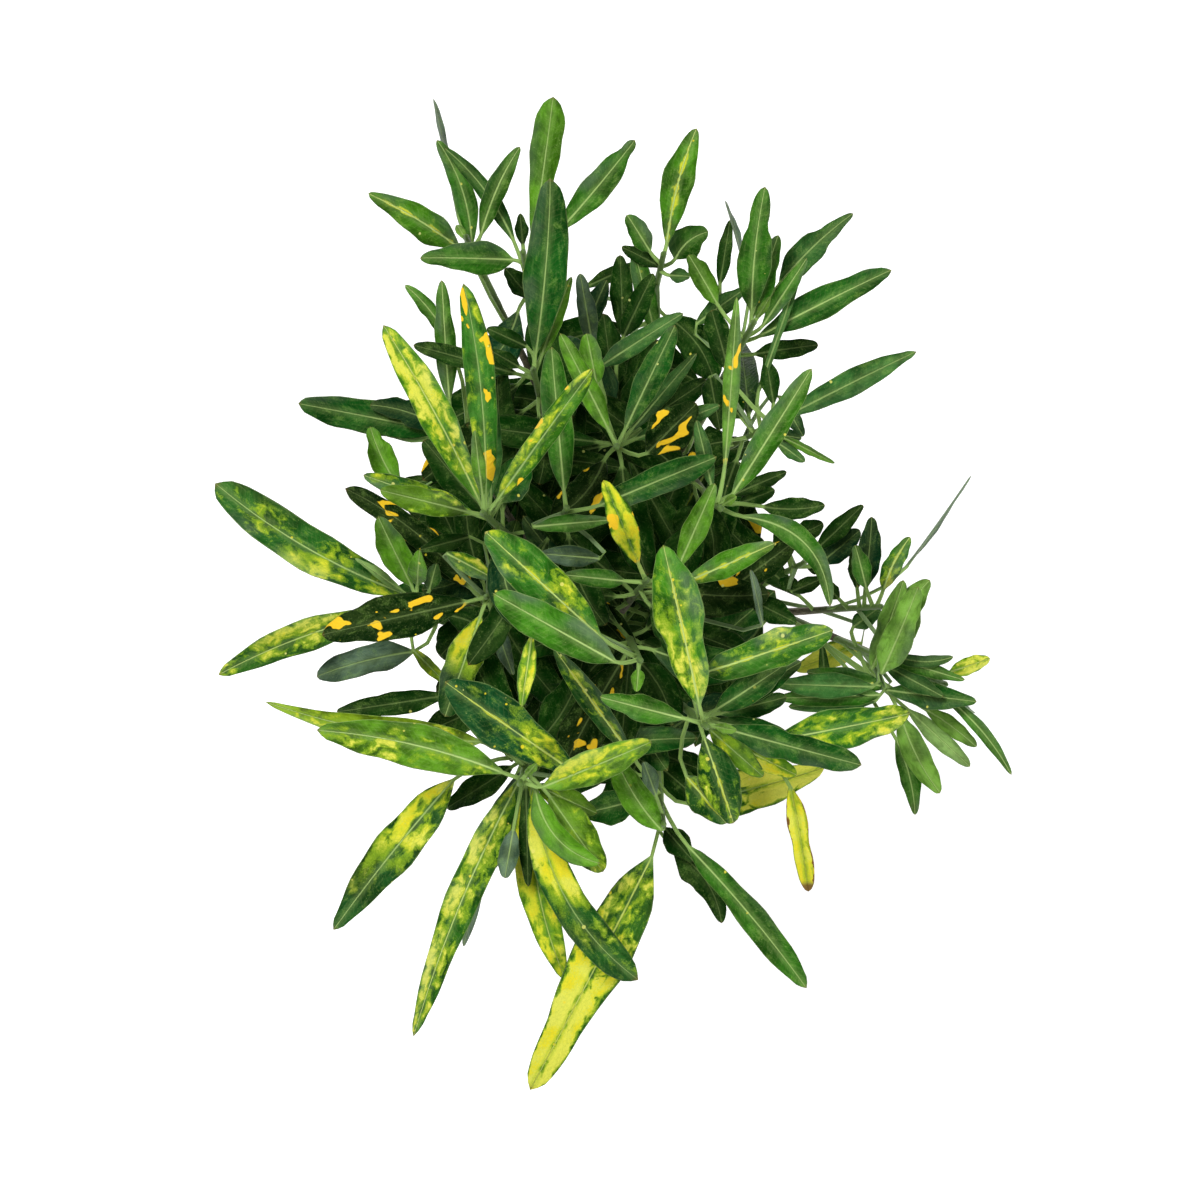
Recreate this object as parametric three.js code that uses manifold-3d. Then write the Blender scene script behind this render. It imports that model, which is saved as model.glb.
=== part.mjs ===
// Potted croton: nine woody stems with long narrow leaves, standing in the soil of a plain round clay pot.
// Millimetres, +Z up. The origin is the middle of the pot's foot, on the surface it stands on.
// Plan readings (x, y) are where a point is seen from straight above, from an eye well over the plant.

import * as THREE from 'three';
import { mergeVertices } from 'three/addons/utils/BufferGeometryUtils.js';
import Module from 'manifold-3d';

const wasm = await Module();
wasm.setup();

// ---- driving dimensions ----

const eye = { height: 2600, plan: 480 }; // the eye over the plant, and the level where plan readings are true
const pot = {
  height: 180, rim: 100, foot: 68, wall: 7, floor: 8, // rim and foot are outer radii
  band: 30, step: 4, // the thicker band under the rim: its height, and how far it stands out
  round: 2, sides: 36,
  drain: { radius: 6, from: 36, count: 3, sides: 14 },
};
const soil = { level: 156, mound: 7, grain: 1.6, gap: 0.3, depth: 46, sides: 36, rings: 3, hole: 8 };
const stem = {
  sides: 5, steps: 5, root: 4.4, tip: 1.7, branch: 2.7, bud: 7, upright: 3,
  search: 80, // how finely it is searched for the root of a leaf
};
const blade = {
  at: [0.12, 0.36, 0.66, 0.9], // stations along the midrib, as shares of its length
  half: [0.55, 0.96, 1, 0.6], // half width there, as shares of the greatest
  thick: 1.6, fold: 0.26, wave: 0.045, turns: 10, lag: 2, arch: 0.09, // lag: of the right edge's wave
};
const small = { reach: 75, width: 13, at: [0.2, 0.5, 0.8], half: [0.75, 1, 0.7] }; // for a small blade
const stalk = { length: 12, width: 2.6, thick: 2.4, lift: 5, climb: 0.6 }; // climb: slope of a long stalk
const spiral = { first: 4, pitch: 5.5, roll: 0.16 }; // down the stem from its tip, and each blade's own roll
const clear = { // what is tried, in turn, to carry a leaf clear of those already grown
  gap: 1, rim: 6, bends: [0, 7, -7, 14, -14],
  lifts: [0, 6, -6, 12, -12, 18, -18, 26, -26, 36, -36, 48, -48, 60, -60, 75],
};
const under = { // the lower leaves, which the upper ones partly hide
  top: 75, high: 400, low: 212, dense: 330, pitch: [19, 45], // the closer pitch is below the dense level
  near: 60, far: 108, width: [25, 19], at: [0.3, 0.72], half: [1, 0.95],
  middle: [-8, 20], reach: [112, 138], // no lower leaf reaches past this oval, seen from above
  fork: 0.05, // none grows closer to where its stem begins, as a share of the stem
  slopes: [-0.25, 0.3], sway: 6,
};

// ---- the shoots and their leaves, read from the plant seen from above ----
// shoot: tip [x, y], level of its tip, slopes of its first and last leaf, leaves from the top down
// leaf: tip x, tip y, width, and where it needs them: from (foot of the blade), slope, roll, bend, drop

const stems = {
  centre: {
    root: [8, -2],
    shoots: [
      { tip: [24, -36], top: 560, slopes: [0.3, -0.1], leaves: [
        [22, -55, 8, { slope: 1.2 }], [-64, 4, 22, { from: [9, -37] }], [-69, 41, 24, { from: [0, -22] }],
        [-47, -64, 11, { from: [-41, -22] }], [12, -96, 24, { drop: 100 }], [-36, -72, 26, { drop: 130 }],
        [70, -66, 26, { drop: 150 }],
      ] },
      { tip: [28, 12], top: 515, fork: 300, slopes: [0.5, -0.1], leaves: [
        [2, 72, 13], [69, 70, 14, { from: [47, 20] }], [105, 34, 14, { from: [50, 10] }],
        [-22, 15, 12], [118, 36, 18, { from: [80, 8], drop: 30 }],
        [118, -14, 14, { from: [90, 0], drop: 20 }],
        [90, 18, 9, { from: [97, -15], roll: 0.8, drop: 10 }], [62, -52, 18, { from: [40, -8], drop: 40 }],
        [-20, 58, 24, { drop: 70 }], [-38, -36, 24, { drop: 60 }], [92, -34, 24, { drop: 80 }],
        [52, 84, 24, { drop: 90 }],
      ] },
    ],
  },
  north: {
    root: [-2, 36],
    shoots: [
      { tip: [38, 207], top: 455, slopes: [0.5, -0.1], leaves: [
        [58, 283, 20], [16, 231, 11], [65, 221, 15], [54, 194, 9], [20, 211, 14, { from: [33, 160] }],
        [12, 207, 14, { from: [14, 158] }], [26, 203, 9, { from: [-8, 188] }],
      ] },
      { tip: [10, 92], top: 505, fork: 300, slopes: [0.5, -0.1], leaves: [
        [-24, 160, 14], [-8, 160, 14, { from: [-2, 130] }], [45, 165, 16],
        [58, 118, 24, { from: [28, 88] }],
        [50, 172, 13, { from: [0, 140] }], [72, 117, 11], [58, 148, 11], [25, 103, 8, { slope: 1 }],
        [-12, 196, 12, { from: [-4, 150] }], [34, 156, 22, { from: [14, 106], drop: 40 }],
        [64, 132, 22, { drop: 60 }], [2, 172, 22, { drop: 50 }], [-34, 122, 20, { drop: 40 }],
      ] },
    ],
  },
  north_west: {
    root: [-24, 40],
    shoots: [
      { tip: [-46, 208], top: 470, slopes: [0.4, -0.1], leaves: [
        [-48, 232, 8, { slope: 1.3 }], [-28, 302, 19, { from: [-40, 215] }], [-108, 205, 18],
        [21, 276, 16, { from: [-24, 222] }], [-93, 271, 12, { from: [-52, 216] }],
      ] },
      { tip: [-80, 217], top: 455, fork: 330, slopes: [0.5, 0], leaves: [
        [-86, 225, 6, { slope: 1.6 }], [-48, 272, 11], [-139, 244, 18], [-98, 276, 14],
        [-100, 301, 12, { from: [-85, 230], roll: 1.3, slope: 0.3 }],
      ] },
      { tip: [-40, 138], top: 505, fork: 300, slopes: [0.35, -0.1], leaves: [
        [-30, 253, 21], [-17, 194, 10], [-66, 150, 9], [-68, 163, 10, { from: [-44, 152] }],
        [-112, 153, 13],
      ] },
    ],
  },
  north_east: {
    root: [26, 44],
    shoots: [
      { tip: [92, 166], top: 470, slopes: [0.5, -0.1], leaves: [
        [102, 182, 6, { slope: 1.5 }], [99, 248, 17], [107, 219, 10], [53, 207, 14, { from: [70, 178] }],
        [152, 232, 14, { from: [108, 190] }], [175, 198, 18], [75, 240, 12, { from: [88, 195], roll: 1.2 }],
        [78, 228, 9, { from: [72, 190] }], [87, 187, 12, { from: [58, 166] }], [131, 153, 13],
      ] },
      { tip: [72, 55], top: 525, fork: 300, slopes: [0.5, -0.1], leaves: [
        [82, 62, 6, { slope: 1.8 }], [82, 182, 10, { from: [75, 82] }], [127, 139, 15, { from: [80, 64] }],
        [58, 108, 10], [138, -4, 14, { from: [86, 50], bend: 15 }], [135, 57, 13, { from: [98, 56] }],
        [112, 77, 10], [46, 40, 16, { drop: 30 }],
      ] },
      { tip: [103, 106], top: 445, fork: 280, slopes: [0.3, -0.1], leaves: [
        [190, 149, 14], [141, 82, 8, { roll: 0.8 }], [121, 200, 8, { from: [95, 125] }], [123, 83, 8],
        [121, 97, 9], [66, 132, 18], [84, 156, 17], [58, 92, 20],
      ] },
    ],
  },
  west: {
    root: [-30, 14],
    shoots: [
      { tip: [-70, 52], top: 540, slopes: [0.5, -0.1], leaves: [
        [-75, 102, 9, { slope: 0.9 }], [-4, 139, 14], [-132, 66, 15], [-82, 190, 17, { bend: -7 }],
        [-130, 165, 20, { bend: 4 }], [-64, 118, 12, { roll: 0.5 }], [-45, 85, 20], [-142, 75, 16],
        [-106, 96, 20, { drop: 40 }], [-62, 146, 18, { drop: 50 }],
      ] },
      { tip: [-20, 55], top: 500, fork: 320, slopes: [0.4, -0.1], leaves: [
        [-29, 152, 20], [70, 86, 18, { from: [0, 57] }], [6, 48, 10, { from: [-40, 44] }],
        [-35, 28, 12, { from: [0, 25] }],
      ] },
      { tip: [-92, 112], top: 450, fork: 300, slopes: [0.3, -0.1], leaves: [
        [-95, 192, 14], [-117, 189, 10, { from: [-88, 150] }], [-138, 104, 16, { from: [-121, 68] }],
        [-138, 117, 14], [-181, 118, 21], [-133, 101, 12, { roll: 0.5 }],
        [-121, 69, 9, { from: [-95, 73] }],
      ] },
    ],
  },
  west_low: {
    root: [-46, -8],
    shoots: [
      { tip: [-112, -2], top: 450, slopes: [0.4, -0.15], leaves: [
        [-108, 30, 12, { slope: 1.3 }], [-147, 25, 9, { roll: 0.9 }], [-133, 50, 17], [-231, 70, 26],
        [-229, -45, 17, { from: [-122, -6], drop: 24 }], [-98, 22, 10],
        [-170, -46, 16, { from: [-112, -31], drop: 20 }],
      ] },
      { tip: [-68, 2], top: 470, fork: 300, slopes: [0.1, -0.2], leaves: [
        [-62, 12, 12, { from: [-92, 28] }], [-167, -21, 25], [-93, -70, 20], [-153, 67, 15, { drop: 40 }],
        [-52, -45, 12, { roll: 0.4 }], [-108, 30, 10, { from: [-78, 38] }],
        [-158, -67, 16, { from: [-92, -57], drop: 20 }], [-96, -34, 24, { drop: 90 }],
        [-28, -70, 24, { drop: 100 }],
      ] },
    ],
  },
  south_west: {
    root: [-26, -32],
    shoots: [
      { tip: [-48, -110], top: 500, slopes: [0.3, -0.25], leaves: [
        [-38, -98, 6, { slope: 1.6 }], [31, -85, 20, { from: [-34, -112] }], [-170, -78, 26],
        [0, -158, 18, { bend: -9 }], [-93, -49, 27, { from: [-14, -104] }],
        [2, -163, 22, { from: [-30, -118] }],
        [-201, -61, 16, { from: [-72, -85] }], [23, -228, 22, { bend: -8 }], [-43, -172, 10],
        [-160, -198, 22, { from: [-88, -108] }], [-112, -262, 19], [-20, -229, 22], [-52, -160, 9],
        [-92, -125, 14], [-68, -163, 14], [-82, -208, 10, { from: [-60, -132], roll: 0.7 }],
      ] },
    ],
  },
  south: {
    root: [14, -38],
    shoots: [
      { tip: [64, -76], top: 550, slopes: [0.15, -0.2], leaves: [
        [82, -78, 6, { slope: 1.6 }], [38, 33, 27], [0, -58, 16], [157, -99, 18],
        [140, -18, 23, { from: [62, -44] }],
        [112, -38, 18], [121, -37, 14], [80, -134, 22], [114, -82, 16], [98, -106, 14],
        [186, -68, 23, { from: [105, -84] }], [125, -175, 11, { from: [114, -112], slope: -0.5 }],
      ] },
      { tip: [38, -134], top: 465, fork: 320, slopes: [0.4, -0.25], leaves: [
        [8, -90, 17], [26, -97, 11, { roll: 0.4 }], [124, -233, 17, { from: [53, -148] }],
        [-28, -28, 14, { from: [18, -92] }], [73, -194, 16, { from: [44, -150], drop: 12 }],
        [-10, -128, 14], [135, -100, 22, { from: [52, -122] }],
        [-42, -294, 27, { from: [31, -154] }], [64, -124, 20, { from: [34, -98], drop: 30 }],
        [2, -128, 22, { from: [28, -90], drop: 30 }], [58, -84, 20, { drop: 40 }],
        [-6, -92, 18, { drop: 30 }],
      ] },
    ],
  },
  east: {
    root: [44, 24],
    shoots: [
      { tip: [168, -34], top: 405, slopes: [0.6, -0.2], leaves: [
        [175, -12, 10], [212, -34, 8], [219, -48, 10], [226, -61, 15, { from: [172, -54] }],
        [204, -116, 18, { from: [180, -68] }], [168, -4, 12, { from: [152, -16] }],
        [189, -129, 12, { from: [178, -84] }], [226, -88, 12, { from: [196, -66] }],
        [222, -100, 12, { from: [185, -66] }], [104, -52, 8], [106, -61, 8], [112, -68, 7], [120, -45, 9],
        [117, -42, 16, { from: [157, -26], slope: -0.2, drop: 20 }], [137, -73, 9, { from: [133, -26] }],
      ] },
      { tip: [168, -4], top: 420, fork: 300, slopes: [0.7, 0], leaves: [
        [186, 38, 12], [153, 33, 11], [198, 12, 17, { from: [180, -30] }], [163, 50, 13], [152, 30, 9],
        [223, 75, 10, { from: [184, 20], roll: 1.25 }], [133, 12, 9],
      ] },
      { tip: [206, -50], top: 395, fork: 330, slopes: [0.5, -0.1], leaves: [
        [234, -35, 9], [247, -105, 10], [225, -68, 9, { roll: 1 }],
      ] },
      { tip: [122, 22], top: 400, fork: 270, slopes: [0.2, -0.1], leaves: [
        [158, 57, 12], [156, 42, 17, { from: [132, 22] }], [137, 20, 11], [112, 5, 14], [108, 45, 14],
      ] },
    ],
  },
};

// ---- finishes ----

const finish = {
  clay: { color: 0xb5714c, roughness: 0.86, metalness: 0 },
  earth: { color: 0x33261c, roughness: 0.96, metalness: 0 },
  leaf: { color: 0x2f6a22, roughness: 0.42, metalness: 0 },
};

// ---- small helpers ----

const mix = (a, b, t) => a + (b - a) * t;
const unit = (count) => (count * 0.618034) % 1; // an even spread of shares, the same at every run
const spread = (z) => (eye.height - z) / (eye.height - eye.plan); // plan reading to true place at a level
const seen = ([x, y], z) => new THREE.Vector3(x * spread(z), y * spread(z), z);

function indexed(points, faces) {
  const shape = new THREE.BufferGeometry();
  shape.setAttribute('position', new THREE.Float32BufferAttribute(points.flatMap((p) => p.toArray()), 3));
  shape.setIndex(faces.flat());
  return shape;
}

function solid(shape) {
  const bare = shape.clone();
  bare.deleteAttribute('normal');
  bare.deleteAttribute('uv');
  const merged = mergeVertices(bare, 1e-4);
  return new wasm.Manifold(new wasm.Mesh({
    numProp: 3,
    vertProperties: Float32Array.from(merged.attributes.position.array),
    triVerts: Uint32Array.from(merged.index.array),
  }));
}

function geometry(body) {
  const mesh = body.getMesh();
  const shape = new THREE.BufferGeometry();
  const points = new Float32Array(mesh.numVert * 3);
  for (let i = 0; i < mesh.numVert; i += 1) {
    for (let axis = 0; axis < 3; axis += 1) {
      points[3 * i + axis] = mesh.vertProperties[mesh.numProp * i + axis];
    }
  }
  shape.setAttribute('position', new THREE.BufferAttribute(points, 3));
  shape.setIndex(Array.from(mesh.triVerts));
  return shape;
}

// ---- a closed skin over rings of points that all have the same count, the last one a single point ----

function skin(rings) {
  const points = rings.flat();
  const count = rings[0].length;
  const faces = [];
  for (let ring = 0; ring < rings.length - 1; ring += 1) {
    const low = ring * count;
    const high = low + count;
    for (let side = 0; side < count; side += 1) {
      const next = (side + 1) % count;
      if (rings[ring + 1].length === 1) {
        faces.push([low + side, low + next, high]);
      } else if (side % 2 === 0) {
        faces.push([low + side, low + next, high + side], [low + next, high + next, high + side]);
      } else {
        faces.push([low + side, low + next, high + next], [low + side, high + next, high + side]);
      }
    }
  }
  for (let side = 1; side < count - 1; side += 1) {
    faces.push([0, side + 1, side]);
  }
  return indexed(points, faces);
}

// ---- stems ----

// A stem leaves the ground upright and swings over in one upright plane to a tip that points up again.
function stemLine(foot, tip) {
  const rise = tip.z - foot.z;
  const reach = new THREE.Vector3(tip.x - foot.x, tip.y - foot.y, 0);
  const lower = foot.clone().add(new THREE.Vector3(0, 0, 0.35 * rise));
  const upper = tip.clone().addScaledVector(reach, -0.12);
  upper.z -= 0.4 * rise;
  return new THREE.CubicBezierCurve3(foot, lower, upper, tip);
}

// A point on the straight run between two rings of a stem.
function onStem(line, share) {
  const step = Math.min(Math.floor(share * stem.steps), stem.steps - 1);
  const [low, high] = [step, step + 1].map((ring) => line.getPoint(ring / stem.steps));
  return low.lerp(high, share * stem.steps - step);
}

function stemShape(line, thick, rootLength) {
  const reach = line.v3.clone().sub(line.v0).setZ(0);
  const across = new THREE.Vector3(-reach.y, reach.x, 0).normalize();
  const rings = [];
  const ringAt = (centre, along, radius) => {
    const other = along.clone().cross(across).normalize();
    return Array.from({ length: stem.sides }, (_, side) => {
      const turn = (2 * Math.PI * side) / stem.sides;
      return centre.clone()
        .addScaledVector(across, radius * Math.cos(turn))
        .addScaledVector(other, radius * Math.sin(turn));
    });
  };
  const up = new THREE.Vector3(0, 0, 1);
  if (rootLength > 0) {
    rings.push(ringAt(line.v0.clone().setZ(line.v0.z - rootLength), up, thick));
  }
  for (let step = 0; step <= stem.steps; step += 1) {
    const t = step / stem.steps;
    rings.push(ringAt(line.getPoint(t), line.getTangent(t), mix(thick, stem.tip, t)));
  }
  rings.push([line.v3.clone().addScaledVector(line.getTangent(1), stem.bud)]);
  return skin(rings);
}

// ---- leaves ----

// The blade's midrib is a bow from its foot to its tip. Each section is a shallow V: left edge, crest,
// right edge and underside, so that both faces are split alike.
function leafShape(leaf, { fat = 0, stalked = true } = {}) {
  const { root, foot, tip, width, bend, roll, phase } = leaf;
  const reach = tip.clone().sub(foot);
  const aside = new THREE.Vector3(-reach.y, reach.x, 0).normalize();
  const middle = foot.clone().add(tip).multiplyScalar(0.5).addScaledVector(aside, 2 * bend);
  middle.z += 2 * blade.arch * reach.length();
  const rib = new THREE.QuadraticBezierCurve3(foot, middle, tip);
  const section = (centre, along, half, thick, at) => {
    const level = new THREE.Vector3(-along.y, along.x, 0).normalize();
    const upward = along.clone().cross(level).normalize();
    const across = level.clone().multiplyScalar(Math.cos(roll)).addScaledVector(upward, Math.sin(roll));
    const normal = along.clone().cross(across).normalize();
    const rise = (offset) => (at > 0
      ? blade.fold * half + blade.wave * width * Math.sin(phase + offset + blade.turns * at) : 0);
    return [
      centre.clone().addScaledVector(across, half).addScaledVector(normal, rise(0)),
      centre.clone().addScaledVector(normal, thick / 2),
      centre.clone().addScaledVector(across, -half).addScaledVector(normal, rise(blade.lag)),
      centre.clone().addScaledVector(normal, -thick / 2),
    ];
  };
  const rings = [];
  if (stalked) {
    const along = foot.clone().sub(root).normalize();
    rings.push(section(root, along, stalk.width / 2, stalk.thick, 0));
  }
  if (leaf.footed || !stalked) {
    rings.push(section(foot, rib.getTangent(0), stalk.width / 2 + fat / 2, stalk.thick + fat, 0));
  }
  leaf.at.forEach((at, i) => {
    const half = leaf.half[i] * (width / 2 + fat);
    rings.push(section(rib.getPoint(at), rib.getTangent(at), half, blade.thick + fat, at));
  });
  rings.push([tip.clone()]);
  return skin(rings);
}

// One leaf of a shoot as its root, foot and tip, with the lift and bend that carry it clear of the others.
function placed(leaf, lift, bend) {
  const tip = seen(leaf.tip, leaf.foot.z + leaf.rise + lift);
  return { ...leaf, tip, bend: leaf.bend + bend };
}

// A leaf of the list: the foot of its blade comes down the stem with its place in the list, and its root is
// where the stem is that much lower, lower still under a long stalk.
function readLeaf(line, shoot, row, order, seed) {
  const [x, y, width, own = {}] = row;
  const level = shoot.top - spiral.first - spiral.pitch * order - (own.drop ?? 0); // the foot of the blade
  const rootAt = (point) => {
    const flat = [point.x / spread(point.z), point.y / spread(point.z)];
    const away = Math.hypot(x - flat[0], y - flat[1]);
    const step = Math.min(stalk.length, away * 0.35) / away;
    const from = own.from ?? [mix(flat[0], x, step), mix(flat[1], y, step)];
    const gone = Math.hypot(from[0] - flat[0], from[1] - flat[1]);
    const miss = level - stalk.lift - stalk.climb * Math.max(0, gone - stalk.length) - point.z;
    return { root: point, from, miss: Math.abs(miss) };
  };
  const { root, from } = Array.from({ length: stem.search }, (_, i) => rootAt(onStem(line, i / stem.search)))
    .reduce((a, b) => (b.miss < a.miss ? b : a));
  const foot = seen(from, level);
  const reach = Math.hypot(x - from[0], y - from[1]);
  const slope = own.slope ?? mix(shoot.slopes[0], shoot.slopes[1], order / (shoot.leaves.length - 1));
  return {
    root, foot, tip: [x, y], width,
    rise: slope * reach,
    bend: own.bend ?? 0,
    roll: own.roll ?? spiral.roll * (2 * unit(seed) - 1),
    phase: 2 * Math.PI * unit(seed + 7),
    at: reach < small.reach || width < small.width ? small.at : blade.at,
    half: reach < small.reach || width < small.width ? small.half : blade.half,
    footed: true,
  };
}

// Lower leaves, which the upper ones hide from above: a spiral down each stem, shorter and level or drooping.
function lowerLeaf(line, share, seed) {
  const root = onStem(line, share);
  const turn = 2 * Math.PI * unit(seed);
  const flat = [root.x / spread(root.z), root.y / spread(root.z)];
  const reach = mix(under.near, under.far, unit(seed));
  const way = [Math.cos(turn), Math.sin(turn)];
  const from = flat.map((value, axis) => value + stalk.length * way[axis]);
  const tip = flat.map((value, axis) => value + reach * way[axis]);
  return {
    root, foot: seen(from, root.z + stalk.lift), tip,
    width: under.width[root.z < under.dense ? 0 : 1] * mix(0.8, 1.1, unit(seed + 3)), footed: false,
    rise: reach * mix(...under.slopes, unit(seed + 5)),
    bend: under.sway * (2 * unit(seed + 9) - 1),
    roll: spiral.roll * (2 * unit(seed + 1) - 1),
    phase: 2 * Math.PI * unit(seed + 7),
    at: under.at, half: under.half,
  };
}

// ---- which leaves are clear of which ----

const boxOf = (shape) => {
  shape.computeBoundingBox();
  return shape.boundingBox;
};
const grown = []; // every stem and leaf that stands so far: its solid, box and owner

function standsClear(leaf, owner) {
  const whole = leafShape(leaf, { fat: clear.gap });
  const bare = leafShape(leaf, { fat: clear.gap, stalked: false });
  const box = boxOf(whole);
  if (meetsPot(whole)) {
    return false;
  }
  const near = grown.filter((other) => other.box.intersectsBox(box));
  if (near.length === 0) {
    return true;
  }
  const wholeSolid = solid(whole);
  const bareSolid = solid(bare);
  return near.every(({ owner: other, body }) => (
    (other === owner ? bareSolid : wholeSolid).intersect(body).isEmpty()));
}

function meetsPot(shape) {
  const points = shape.attributes.position;
  for (let i = 0; i < points.count; i += 1) {
    const out = Math.hypot(points.getX(i), points.getY(i));
    if (points.getZ(i) < pot.height + clear.rim && out < pot.rim + clear.rim) {
      return true;
    }
  }
  return false;
}

// A leaf grows in the first of its places that is clear, or not at all where every one is taken.
function grow(leaf, owner) {
  for (const bend of clear.bends) {
    for (const lift of clear.lifts) {
      const trial = placed(leaf, lift, bend);
      if (standsClear(trial, owner)) {
        const shape = leafShape(trial);
        grown.push({ owner, body: solid(shape), box: boxOf(shape) });
        return;
      }
    }
  }
}

// ---- the nine leafy stems ----

const lines = {};
for (const [name, { root, shoots }] of Object.entries(stems)) {
  const foot = new THREE.Vector3(root[0], root[1], soil.level + soil.mound + stem.upright);
  const main = stemLine(foot, seen(shoots[0].tip, shoots[0].top));
  lines[name] = shoots.map((shoot, i) => {
    if (i === 0) {
      return main;
    }
    const share = (shoot.fork - foot.z) / (shoots[0].top - foot.z);
    return stemLine(onStem(main, share), seen(shoot.tip, shoot.top));
  });
  lines[name].forEach((line, i) => {
    const shape = i === 0
      ? stemShape(line, stem.root, foot.z - soil.level + soil.depth)
      : stemShape(line, stem.branch, 0);
    grown.push({ owner: name, body: solid(shape), box: boxOf(shape) });
  });
}

let seed = 0;
for (const [name, { shoots }] of Object.entries(stems)) {
  shoots.forEach((shoot, i) => {
    shoot.leaves.forEach((row, order) => {
      seed += 1;
      grow(readLeaf(lines[name][i], shoot, row, order, seed), name);
    });
  });
}
let lowSeed = 0;
for (const [name, { shoots }] of Object.entries(stems)) {
  shoots.forEach((shoot, i) => {
    const line = lines[name][i];
    const top = Math.min(shoot.top - under.top, under.high);
    for (let level = top; level > under.low; level -= under.pitch[level < under.dense ? 0 : 1]) {
      lowSeed += 1;
      const share = (level - line.v0.z) / (line.v3.z - line.v0.z);
      const leaf = lowerLeaf(line, share, lowSeed);
      const out = leaf.tip.map((value, axis) => (value - under.middle[axis]) / under.reach[axis]);
      if (share > under.fork && Math.hypot(...out) < 1) {
        grow(leaf, name);
      }
    }
  });
}

// ---- pot and soil ----

function turned(profile, sides) {
  const line = profile.map(([r, z]) => new THREE.Vector2(r, z));
  return new THREE.LatheGeometry(line, sides).rotateX(Math.PI / 2);
}

const outer = (z) => mix(pot.foot, pot.rim - pot.step, z / pot.height);

function potSolid() {
  const { height, foot, wall, floor, band, step, round, rim } = pot;
  const low = height - band;
  const body = solid(turned([
    [0, 0], [foot - round, 0], [outer(round), round], [outer(low - step), low - step],
    [outer(low) + step, low], [rim - round / 2, height - round], [rim - round, height],
    [rim - step - wall + round, height],
    [rim - step - wall, height - round], [outer(floor) - wall, floor], [0, floor],
  ], pot.sides));
  return Array.from({ length: pot.drain.count }, (_, i) => {
    const turn = (2 * Math.PI * i) / pot.drain.count;
    const hole = new THREE.CylinderGeometry(pot.drain.radius, pot.drain.radius, 4 * floor, pot.drain.sides)
      .rotateX(Math.PI / 2);
    return solid(hole.translate(pot.drain.from * Math.cos(turn), pot.drain.from * Math.sin(turn), 0));
  }).reduce((all, hole) => all.subtract(hole), body);
}

function soilSolid() {
  const { level, mound, grain, gap, sides, rings } = soil;
  const inner = (z) => mix(outer(pot.floor) - pot.wall, pot.rim - pot.step - pot.wall,
    (z - pot.floor) / (pot.height - pot.round - pot.floor)) - gap;
  const profile = [[0, pot.floor + gap], [inner(pot.floor) - gap, pot.floor + gap]];
  for (let ring = 0; ring <= rings; ring += 1) {
    const share = ring / rings;
    profile.push([inner(level) * (1 - share), level + mound * Math.sin((share * Math.PI) / 2)]);
  }
  const shape = turned(profile, sides);
  const points = shape.attributes.position;
  for (let i = 0; i < points.count; i += 1) {
    const [x, y, z] = [points.getX(i), points.getY(i), points.getZ(i)];
    if (z > level + 0.5 && Math.hypot(x, y) > 1) {
      points.setZ(i, z + grain * Math.sin(x * 0.21 + y * 0.13) * Math.cos(y * 0.19 - x * 0.07));
    }
  }
  return Object.values(stems).reduce((all, { root: [x, y] }) => {
    const radius = (stem.root + gap) / Math.cos(Math.PI / soil.hole);
    const hole = new THREE.CylinderGeometry(radius, radius, soil.depth * 2, soil.hole).rotateX(Math.PI / 2);
    return all.subtract(solid(hole.translate(x, y, level - gap)));
  }, solid(shape));
}

// ---- the whole plant ----

const plant = new THREE.Group();

function add(name, body, look) {
  const mesh = new THREE.Mesh(geometry(body), new THREE.MeshStandardMaterial(look));
  mesh.name = name;
  plant.add(mesh);
}

add('pot', potSolid(), finish.clay);
add('soil', soilSolid(), finish.earth);
for (const name of Object.keys(stems)) {
  const parts = grown.filter((one) => one.owner === name).map((one) => one.body);
  add(`stem_${name}`, parts.reduce((all, part) => all.add(part)), finish.leaf);
}

export default plant;
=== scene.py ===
# Potted croton seen from straight above: nine leafy stems in the soil of a plain clay pot.
# Plan readings and lengths in the lists are millimetres, as in the part; meshes are made in metres.
import bpy
import numpy as np
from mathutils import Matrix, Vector


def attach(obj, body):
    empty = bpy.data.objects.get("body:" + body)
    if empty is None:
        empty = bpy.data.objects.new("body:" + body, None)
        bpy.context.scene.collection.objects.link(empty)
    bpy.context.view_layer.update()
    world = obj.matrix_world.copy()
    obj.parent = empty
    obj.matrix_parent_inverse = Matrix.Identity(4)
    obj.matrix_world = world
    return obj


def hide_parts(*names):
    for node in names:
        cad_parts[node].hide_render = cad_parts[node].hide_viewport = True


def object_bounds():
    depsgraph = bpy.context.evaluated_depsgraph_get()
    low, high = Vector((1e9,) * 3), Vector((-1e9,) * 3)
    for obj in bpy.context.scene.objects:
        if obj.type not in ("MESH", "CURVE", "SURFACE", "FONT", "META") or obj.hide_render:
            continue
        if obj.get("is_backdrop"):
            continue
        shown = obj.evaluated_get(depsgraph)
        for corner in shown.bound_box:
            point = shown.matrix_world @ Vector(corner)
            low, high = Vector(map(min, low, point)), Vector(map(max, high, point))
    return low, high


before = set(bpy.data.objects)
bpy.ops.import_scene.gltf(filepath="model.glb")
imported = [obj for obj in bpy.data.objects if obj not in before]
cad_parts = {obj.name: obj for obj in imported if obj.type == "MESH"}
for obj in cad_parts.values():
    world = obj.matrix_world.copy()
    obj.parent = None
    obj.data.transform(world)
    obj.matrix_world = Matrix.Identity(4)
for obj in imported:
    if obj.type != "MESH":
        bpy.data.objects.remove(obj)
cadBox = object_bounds()
metres = 0.001
goldenShare = 0.618034
eye = {"height": 2600, "plan": 480}  # the eye over the plant, and the level where plan readings are true
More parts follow.
